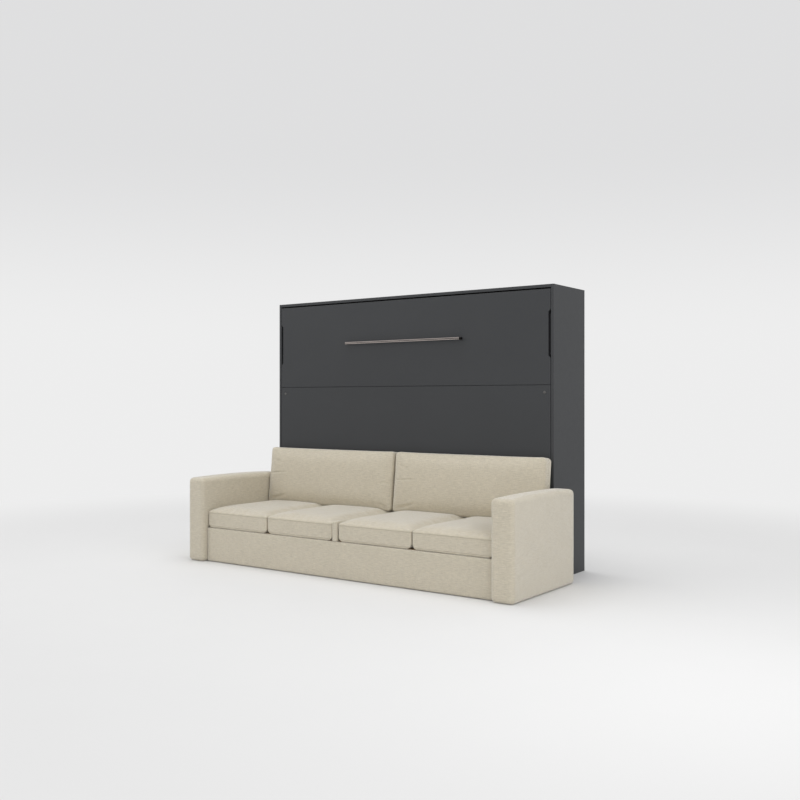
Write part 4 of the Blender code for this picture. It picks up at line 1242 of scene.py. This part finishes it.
@made_once
def screws(name, material):
    """Round screw heads with a cross recess, one on each point, looking along its facing."""
    g = Repeat(name, {"Radius": ("Float", 0.004), "Height": ("Float", 0.0016)})
    radius, height = g.given("Radius"), g.given("Height")
    cone = {"Radius Bottom": radius, "Radius Top": radius * 0.72, "Depth": height}
    dome = g.flow("GeometryNodeMeshCone", {"fill_type": "NGON"}, {"Vertices": SCREW_SIDES, **cone})
    disc = {"Vertices": SCREW_SIDES, "Radius": radius * 1.12, "Depth": height * 0.25}
    washer = g.flow("GeometryNodeMeshCylinder", {"fill_type": "NGON"}, disc)
    cut = g.add("GeometryNodeMeshBoolean", {"operation": "DIFFERENCE"}, {"Mesh 1": dome})
    # The recess's two bars reach down to different depths, so that they share no plane.
    for turn, lift in ((0.0, 0.9), (math.pi / 2, 0.95)):
        size = g.vector(radius * 1.1, radius * 0.24, height)
        bar = g.flow("GeometryNodeMeshCube", None, {"Size": size})
        up = g.vector(z=height * lift)
        inputs = {"Geometry": bar, "Translation": up, "Rotation": (0, 0, turn)}
        g.feed(cut.inputs["Mesh 2"], g.flow("GeometryNodeTransform", None, inputs))
    both = g.add("GeometryNodeJoinGeometry")
    g.feed(both.inputs[0], Flow(g, cut.outputs[0]))
    g.feed(both.inputs[0], washer)
    named = {"data_type": "FLOAT_VECTOR"}
    facing = g.flow("GeometryNodeInputNamedAttribute", named, {"Name": "facing"})
    head = Flow(g, both.outputs[0])
    return g.close(g.put(g.given("Geometry"), head, Rotation=g.turned_to(facing)), material)


@made_once
def bars(name, material):
    """Rounded bars in a row along X."""
    labels = ("Spacing", "Width", "Thickness", "Length", "Edge")
    g = Repeat(name, {"Count": ("Int", 14)} | {label: ("Float", 0.1) for label in labels})
    box = {"Width": g.given("Width"), "Height": g.given("Thickness")}
    section = g.flow("GeometryNodeCurvePrimitiveQuadrilateral", {"mode": "RECTANGLE"}, box)
    edges = {"Curve": section, "Count": 3, "Radius": g.given("Edge"), "Limit Radius": True}
    section = g.flow("GeometryNodeFilletCurve", {"mode": "POLY"}, edges)
    half = g.given("Length") / 2
    ends = {"Start": g.vector(z=half * -1.0), "End": g.vector(z=half)}
    path = g.flow("GeometryNodeCurvePrimitiveLine", None, ends)
    swept = {"Curve": path, "Profile Curve": section, "Fill Caps": True}
    bar = g.flow("GeometryNodeCurveToMesh", None, swept)
    row = {"Count": g.given("Count"), "Offset": g.vector(g.given("Spacing"))}
    return g.close(g.put(g.flow("GeometryNodeMeshLine", None, row), bar), material)


@made_once
def stitches(name, material):
    """Short threads laid end to end along a curve."""
    labels = {"Pitch": 0.006, "Length": 0.0036, "Radius": 0.0004}
    g = Repeat(name, {label: ("Float", value) for label, value in labels.items()})
    curve = g.flow("GeometryNodeMeshToCurve", None, {0: g.given("Geometry")})
    steps = {"Curve": curve, "Length": g.given("Pitch")}
    even = g.flow("GeometryNodeResampleCurve", {"mode": "LENGTH"}, steps)
    stick = {"Vertices": 6, "Radius": g.given("Radius"), "Depth": g.given("Length")}
    thread = g.flow("GeometryNodeMeshCylinder", {"fill_type": "NGON"}, stick)
    turn = g.turned_to(g.flow("GeometryNodeInputTangent"))
    return g.close(g.put(even, thread, Rotation=turn), material)


def make_screws(name, body, spots, facings):
    look = settings("metal")
    values = {"Radius": look.screw_radius, "Height": look.screw_height}
    mesh = repeated(screws(zinc()), points_mesh(spots, facings), values)
    return piece(name, mesh, [zinc()], body)


def make_bars(name, material, row, section, length, nodes=()):
    """Bars of one section and length. row is their count, the first one's place and the spacing."""
    (count, first, spacing), (width, thickness, edge) = row, section
    values = {"Count": count, "Spacing": spacing, "Length": length}
    values |= {"Width": width, "Thickness": thickness, "Edge": edge}
    mesh = repeated(bars(material), points_mesh([(0, 0, 0)]), values)
    mesh.transform(Matrix.Translation(first))
    weld(mesh)
    return piece(name, mesh, [material], "bed", nodes)


def make_stitches(name, body, line):
    """Short threads along a closed line."""
    look = settings("cushions")
    count = len(line)
    mesh = new_mesh(name, line, [(i, (i + 1) % count) for i in range(count)])
    values = {"Pitch": look.stitch, "Length": look.stitch_length, "Radius": look.stitch_radius}
    sewn = repeated(stitches(sewing_thread()), mesh, values)
    return piece(name, sewn, [sewing_thread()], body)


def weld(mesh):
    """Joins points that lie on each other, and turns the faces outward."""
    bm = bmesh.new()
    bm.from_mesh(mesh)
    bmesh.ops.remove_doubles(bm, verts=bm.verts, dist=1e-6)
    bmesh.ops.recalc_face_normals(bm, faces=bm.faces)
    bm.to_mesh(mesh)
    bm.free()


# Mattress


def rounded_loop(low, high, radius, step, turns=8):
    """Points of a rectangle with round corners, in order, about a step apart on the straights."""
    points = []
    left, right = low[0] + radius, high[0] - radius
    bottom, top = low[1] + radius, high[1] - radius
    centres = [(right, top), (left, top), (left, bottom), (right, bottom)]
    for index, (x, z) in enumerate(centres):
        for part in range(turns + 1):
            turn = (index + part / turns) * math.pi / 2
            points.append((x + radius * math.cos(turn), z + radius * math.sin(turn)))
        after = centres[(index + 1) % 4]
        turn = (index + 1) * math.pi / 2
        start = np.array(points[-1])
        end = np.array((after[0] + radius * math.cos(turn), after[1] + radius * math.sin(turn)))
        pieces = max(1, round(np.linalg.norm(end - start) / step))
        points += [tuple(start + (end - start) * part / pieces) for part in range(1, pieces)]
    return points


def ring_faces(rows, size, closed):
    """Quads between rings that each have size points, back to the first ring where it is closed."""
    faces = []
    for row in range(rows if closed else rows - 1):
        here, after = row * size, (row + 1) % rows * size
        for j in range(size):
            other = (j + 1) % size
            faces.append((here + j, here + other, after + other, after + j))
    return faces


def tube(name, points, radius, sides=8):
    """A closed tube along a closed line that lies flat in X and Z."""
    line = np.array(points)
    ahead = np.roll(line, -1, axis=0) - np.roll(line, 1, axis=0)
    ahead /= np.linalg.norm(ahead, axis=1)[:, None]
    up = np.array((0.0, 1.0, 0.0))
    aside = np.cross(ahead, up)
    ring = [(math.cos(t), math.sin(t)) for t in np.arange(sides) * 2 * math.pi / sides]
    spots = [p + radius * (c * a + s * up) for p, a in zip(line, aside) for c, s in ring]
    mesh = new_mesh(name, spots, faces=ring_faces(len(line), sides, True))
    weld(mesh)
    mesh.shade_smooth()
    return mesh


def make_mattress_cover():
    """A quilted top and bottom with a sewn border between them."""
    look = settings("mattress")
    low, high = node_limits("mattress")
    mesh = rounded_grid("mattress_cover", low, high, look.edge, look.cell)
    spots = corners(mesh)
    place = shares(spots, low, high)
    across = (spots[:, 0] - low[0]) / look.quilt
    along = (spots[:, 2] - low[2]) / look.quilt
    pillow = np.abs(np.sin(across * math.pi) * np.sin(along * math.pi)) ** 0.4
    face = smooth_step(np.abs(place[:, 1]), 0.8, 1.0)
    edge = 1 - np.abs(place[:, [0, 2]]).max(axis=1) ** 12
    spots[:, 1] -= np.sign(place[:, 1]) * look.quilt_depth * (1 - pillow) * face * edge
    set_corners(mesh, spots)
    weave_map(mesh)
    off_lines = [np.abs(count - np.round(count)) for count in (across, along)]
    lines = np.minimum(*off_lines) * look.quilt
    borders = np.abs(np.abs(place[:, 1]) - 0.4) * (high[1] - low[1]) / 2
    seam_layer(mesh, np.where(np.abs(place[:, 1]) > 0.95, lines, borders))
    sides = np.abs(normals(mesh)[:, 1]) < math.cos(math.pi / 4)
    materials = [ticking(), border()]
    made = piece("mattress_cover", mesh, materials, "bed", ["mattress"])
    mesh.polygons.foreach_set("material_index", sides.astype(np.int32))


def make_piping():
    """A cord sewn in along the mattress's two edges."""
    look = settings("mattress")
    low, high = node_limits("mattress")
    inset = look.edge * (1 - math.cos(math.pi / 4)) + look.piping / 4
    loop = rounded_loop(low[[0, 2]] + inset, high[[0, 2]] - inset, look.edge - inset / 2, 0.05)
    for label, y in (("front", low[1] + inset), ("back", high[1] - inset)):
        mesh = tube("mattress_piping_" + label, [(x, y, z) for x, z in loop], look.piping)
        seam_layer(mesh)
        weave_map(mesh)
        piece("mattress_piping_" + label, mesh, [piping_cord()], "bed")


def make_strap(side_name):
    """A webbing strap round the back of the mattress, from one long board to the other."""
    look = settings("mattress")
    name = "mattress_strap_" + side_name
    low, high = node_limits(name)
    half = look.strap_thickness / 2
    bend = look.edge + half
    start, back = low[1], high[1] - half
    bottom, top = low[2] + half, high[2] - half
    path = [(start, bottom), ((start + back - bend) / 2, bottom)]
    turns = [part * math.pi / 16 for part in range(9)]
    path += [(back - bend + bend * math.sin(t), bottom + bend - bend * math.cos(t)) for t in turns]
    pieces = round((top - bottom) / look.strap_step)
    rise = top - bottom - 2 * bend
    path += [(back, bottom + bend + rise * part / pieces) for part in range(1, pieces)]
    path += [(back - bend + bend * math.cos(t), top - bend + bend * math.sin(t)) for t in turns]
    path += [((start + back - bend) / 2, top), (start, top)]
    line = np.array(path)
    ahead = np.gradient(line, axis=0)
    ahead /= np.linalg.norm(ahead, axis=1)[:, None]
    out = np.column_stack((ahead[:, 1], -ahead[:, 0]))
    reach = np.concatenate(([0.0], np.cumsum(np.linalg.norm(np.diff(line, axis=0), axis=1))))
    columns = np.linspace(low[0], high[0], 5)
    ring = [(x, 1) for x in columns] + [(x, -1) for x in columns[::-1]]
    spots = [(x, *(p + side * half * o)) for p, o in zip(line, out) for x, side in ring]
    size = len(ring)
    ends = [tuple(range(size)), tuple(range(len(spots) - size, len(spots)))]
    mesh = new_mesh(name, spots, faces=ring_faces(len(line), size, False) + ends)
    layer = mesh.uv_layers.new(name=WEAVE_MAP)
    for loop in mesh.loops:
        row, column = divmod(loop.vertex_index, size)
        layer.data[loop.index].uv = (ring[column][0], reach[row])
    weld(mesh)
    piece(name + "_webbing", mesh, [webbing()], "bed", [name])


# Operators


class WALLBED_OT_stage(bpy.types.Operator):
    """Makes the floor, the lamps, the background and the camera"""

    bl_idname = "wall_bed.stage"
    bl_label = "Stage"

    def execute(self, context):
        look = settings("stage")
        context.scene.view_settings.view_transform = "Standard"
        self.make_floor(look)
        self.make_world(context, look)
        for name, (place, size) in LAMPS.items():
            self.make_lamp(name + "_lamp", getattr(look, name), place, size)
        camera = bpy.data.cameras.new("camera")
        camera.lens = look.lens
        camera.sensor_width = SENSOR_WIDTH
        made = placed("camera", camera)
        made.location = look.camera_place
        made.rotation_euler = (math.pi / 2, 0.0, look.camera_turn)
        context.scene.camera = made
        return {"FINISHED"}

    def make_floor(self, look):
        """A floor that fades into the background where only the camera sees it."""
        signs = ((-1, -1), (1, -1), (1, 1), (-1, 1))
        spots = [(x * FLOOR_REACH, y * FLOOR_REACH, 0) for x, y in signs]
        made = placed("floor", new_mesh("floor", spots, faces=[(0, 1, 2, 3)]))
        f = Finish("studio_floor")
        distance = f.flow("ShaderNodeVectorMath", {"operation": "LENGTH"}, {0: f.place()}, "Value")
        colour = f.toned(f.noise(f.place(), 3.0, 2.0), look.floor, 0.985, 1.0)
        f.wear(base_color=colour, roughness=0.7)
        lit = Flow(f, f.shader.outputs[0])
        glow = f.flow("ShaderNodeEmission", None, {"Color": look.background, "Strength": 1.0})
        seen = f.flow("ShaderNodeLightPath", output="Is Camera Ray")
        inputs = {0: f.rise(distance, *FLOOR_FADE) * seen, 1: lit, 2: glow}
        mixed = f.flow("ShaderNodeMixShader", None, inputs)
        f.feed(f.tree.nodes["Material Output"].inputs["Surface"], mixed)
        made.data.materials.append(f.material)

    def make_world(self, context, look):
        """Even light from all round, behind which the camera sees the background."""
        world = bpy.data.worlds.new("studio")
        world.use_nodes = True
        context.scene.world = world
        g = Graph(world.node_tree)
        path = g.add("ShaderNodeLightPath")
        rays = ("Is Camera Ray", "Is Glossy Ray", "Is Transmission Ray")
        seen = g.largest(*(Flow(g, path.outputs[ray]) for ray in rays))
        up = g.parts(g.flow("ShaderNodeTexCoord", output="Generated"))[2]
        shown = g.blend(g.rise(up, *SKY_FADE), look.background, look.background_top)
        background = world.node_tree.nodes["Background"]
        g.feed(background.inputs["Color"], g.blend(seen, SURROUND, shown))
        g.feed(background.inputs["Strength"], look.sky + seen * (1.0 - look.sky))

    def make_lamp(self, name, power, place, size):
        """A round lamp that looks at the object."""
        lamp = bpy.data.lights.new(name, "AREA")
        lamp.energy, lamp.shape, lamp.size = power, "DISK", size
        made = placed(name, lamp)
        made.location = place
        made.rotation_euler = (LAMP_AIM - Vector(place)).to_track_quat("-Z", "Y").to_euler()


class WALLBED_OT_cabinet(bpy.types.Operator):
    """Finishes the cabinet's boards and the swinging front with its seam strip"""

    bl_idname = "wall_bed.cabinet"
    bl_label = "Cabinet and front"

    def execute(self, context):
        dress(["top_panel", "bottom_panel", "lower_apron"], laminate())
        dress(sided("side_panel", "frame_end"), laminate())
        for name in ("back_board", "front_panel", "frame_board"):
            dress([name + "_lower", name + "_upper"], laminate())
        make_seam_strip()
        return {"FINISHED"}


class WALLBED_OT_handle(bpy.types.Operator):
    """Finishes the bar handle and the bolt heads in the front"""

    bl_idname = "wall_bed.handle"
    bl_label = "Handle and bolts"

    def execute(self, context):
        dress(["handle_bar", *sided("handle_foot")], brushed_nickel())
        dress(sided("panel_bolt"), dark_zinc())
        return {"FINISHED"}


class WALLBED_OT_ironwork(bpy.types.Operator):
    """Finishes pivots, struts, legs and brackets, and puts in their screws"""

    bl_idname = "wall_bed.ironwork"
    bl_label = "Ironwork"

    def execute(self, context):
        look = settings("metal")
        coated = sided("pivot_plate", "hinge_arm", "leg", "strut_cylinder")
        plain = sided("strut_mount", "strut_bracket", "leg_extension", "leg_pin", "wall_bracket")
        dress([*coated, "centre_rail"], powder_coat())
        dress(plain, zinc())
        dress(sided("hinge_bush", "leg_foot"), nylon())
        dress(sided("strut_rod"), chrome())
        plate, lug = (look.plate_wall, look.plate_inset), (look.lug_wall, look.lug_inset)
        for side_name, side in SIDES.items():
            self.fix_plate("pivot_plate_" + side_name, "cabinet", -side, *plate)
            self.fix_plate("hinge_arm_" + side_name, "bed", side, *plate)
            self.fix_plate("strut_mount_" + side_name, "cabinet", -side, *lug)
            self.fix_plate("strut_bracket_" + side_name, "bed", side, *lug)
            self.fix_angle("wall_bracket_" + side_name, look)
        return {"FINISHED"}

    def fix_plate(self, node, body, facing, wall, inset):
        """A screw in each corner of a plate that faces along X."""
        low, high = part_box(node)
        x = (low.x if facing > 0 else high.x) + facing * wall
        rows = (low.z + inset, high.z - inset)
        spots = [(x, y, z) for y in (low.y + inset, high.y - inset) for z in rows]
        make_screws(node + "_screws", body, spots, [(facing, 0.0, 0.0)] * len(spots))

    def fix_angle(self, node, look):
        """Two screws in each leg of an angle bracket under the top panel."""
        low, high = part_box(node)
        pair = (low.x + look.plate_inset, high.x - look.plate_inset)
        spots = [(x, high.y - look.lug_wall, low.z + look.plate_inset) for x in pair]
        spots += [(x, low.y + look.plate_inset, high.z - look.lug_wall) for x in pair]
        facings = [(0.0, -1.0, 0.0)] * 2 + [(0.0, 0.0, -1.0)] * 2
        make_screws(node + "_screws", "cabinet", spots, facings)


class WALLBED_OT_slats(bpy.types.Operator):
    """Makes the two rows of sprung slats with their sleeves and bands"""

    bl_idname = "wall_bed.slats"
    bl_label = "Slats"

    def execute(self, context):
        look = settings("slats")
        for row in ("lower", "upper"):
            self.make_row(look, row)
        return {"FINISHED"}

    def make_row(self, look, row):
        node = "slats_" + row
        low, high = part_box(node)
        spacing = (high.x - low.x - look.width) / (look.count - 1)
        under = high.y - look.thickness
        first = Vector((low.x + look.width / 2, high.y - look.thickness / 2, (low.z + high.z) / 2))
        section = (look.width, look.thickness, look.edge)
        row_size = (look.count, first, spacing)
        make_bars("slat_row_" + row, birch(), row_size, section, high.z - low.z, [node])
        sleeve = (look.width + 2 * look.cap_wall, look.thickness + look.cap_wall, look.edge)
        reach = (high.z - low.z - look.cap_length) / 2
        for label, shift in (("low", -reach), ("high", reach)):
            spot = first + Vector((0.0, -look.cap_wall / 2, shift))
            name = f"slat_caps_{row}_{label}"
            make_bars(name, nylon(), (look.count, spot, spacing), sleeve, look.cap_length)
        thickness, half = look.band_thickness, look.band_width / 2
        for number, share in enumerate(look.band_shares, 1):
            z = low.z + share * (high.z - low.z)
            band_low = (low.x + thickness, under - thickness, z - half)
            band_high = (high.x - thickness, under, z + half)
            name = f"slat_band_{row}_{number}"
            mesh = rounded_grid(name, band_low, band_high, thickness * 0.45, half)
            weave_map(mesh)
            piece(name, mesh, [webbing()], "bed")


class WALLBED_OT_mattress(bpy.types.Operator):
    """Makes the quilted mattress and the straps that hold it"""

    bl_idname = "wall_bed.mattress"
    bl_label = "Mattress"

    def execute(self, context):
        make_mattress_cover()
        make_piping()
        for side_name in SIDES:
            make_strap(side_name)
        return {"FINISHED"}


class WALLBED_OT_sofa_body(bpy.types.Operator):
    """Makes the upholstered arms, base boards and divider, and the deck under the cushions"""

    bl_idname = "wall_bed.sofa_body"
    bl_label = "Sofa body"

    def execute(self, context):
        look = settings("body")
        for side_name in SIDES:
            make_arm(side_name)
        for name in ("sofa_base_front", "sofa_base_back"):
            make_board_cover(name, look.base_edge, BOARD_CELL, BOARD_FILL)
        drawn = ((look.divider_inset, look.divider_setback), look.divider_rise)
        make_board_cover("seat_divider", look.divider_edge, DIVIDER_CELL, PAD_FILL, *drawn)
        make_deck()
        return {"FINISHED"}


class WALLBED_OT_cushions(bpy.types.Operator):
    """Makes the two back cushions and the four seat cushions that they stand on"""

    bl_idname = "wall_bed.cushions"
    bl_label = "Cushions"

    def execute(self, context):
        trees = [surface(make_back_cushion(*item).data) for item in SIDES.items()]
        for number in (1, 2, 3, 4):
            make_seat_cushion(number, trees)
        return {"FINISHED"}


class WALLBED_PT_panel(bpy.types.Panel):
    """Lists the steps that dress the wall bed"""

    bl_label = "Wall bed"
    bl_idname = "WALLBED_PT_panel"
    bl_space_type = "VIEW_3D"
    bl_region_type = "UI"
    bl_category = "Wall bed"

    def draw(self, context):
        for operator in OPERATORS:
            self.layout.operator(operator.bl_idname)


SETTINGS = {
    "wall_bed_fabric": FabricSettings,
    "wall_bed_board": BoardSettings,
    "wall_bed_metal": MetalSettings,
    "wall_bed_slats": SlatSettings,
    "wall_bed_mattress": MattressSettings,
    "wall_bed_cushions": CushionSettings,
    "wall_bed_body": BodySettings,
    "wall_bed_stage": StageSettings,
}
OPERATORS = (
    WALLBED_OT_stage,
    WALLBED_OT_cabinet,
    WALLBED_OT_handle,
    WALLBED_OT_ironwork,
    WALLBED_OT_slats,
    WALLBED_OT_mattress,
    WALLBED_OT_sofa_body,
    WALLBED_OT_cushions,
)


def register():
    for name, group in SETTINGS.items():
        bpy.utils.register_class(group)
        setattr(bpy.types.Scene, name, bpy.props.PointerProperty(type=group))
    for made in (*OPERATORS, WALLBED_PT_panel):
        bpy.utils.register_class(made)


def unregister():
    for made in (*OPERATORS, WALLBED_PT_panel):
        bpy.utils.unregister_class(made)
    for name, group in SETTINGS.items():
        delattr(bpy.types.Scene, name)
        bpy.utils.unregister_class(group)


def main():
    register()
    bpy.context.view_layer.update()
    for operator in OPERATORS:
        group, name = operator.bl_idname.split(".")
        getattr(getattr(bpy.ops, group), name)()
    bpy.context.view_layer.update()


if __name__ == "__main__":
    main()
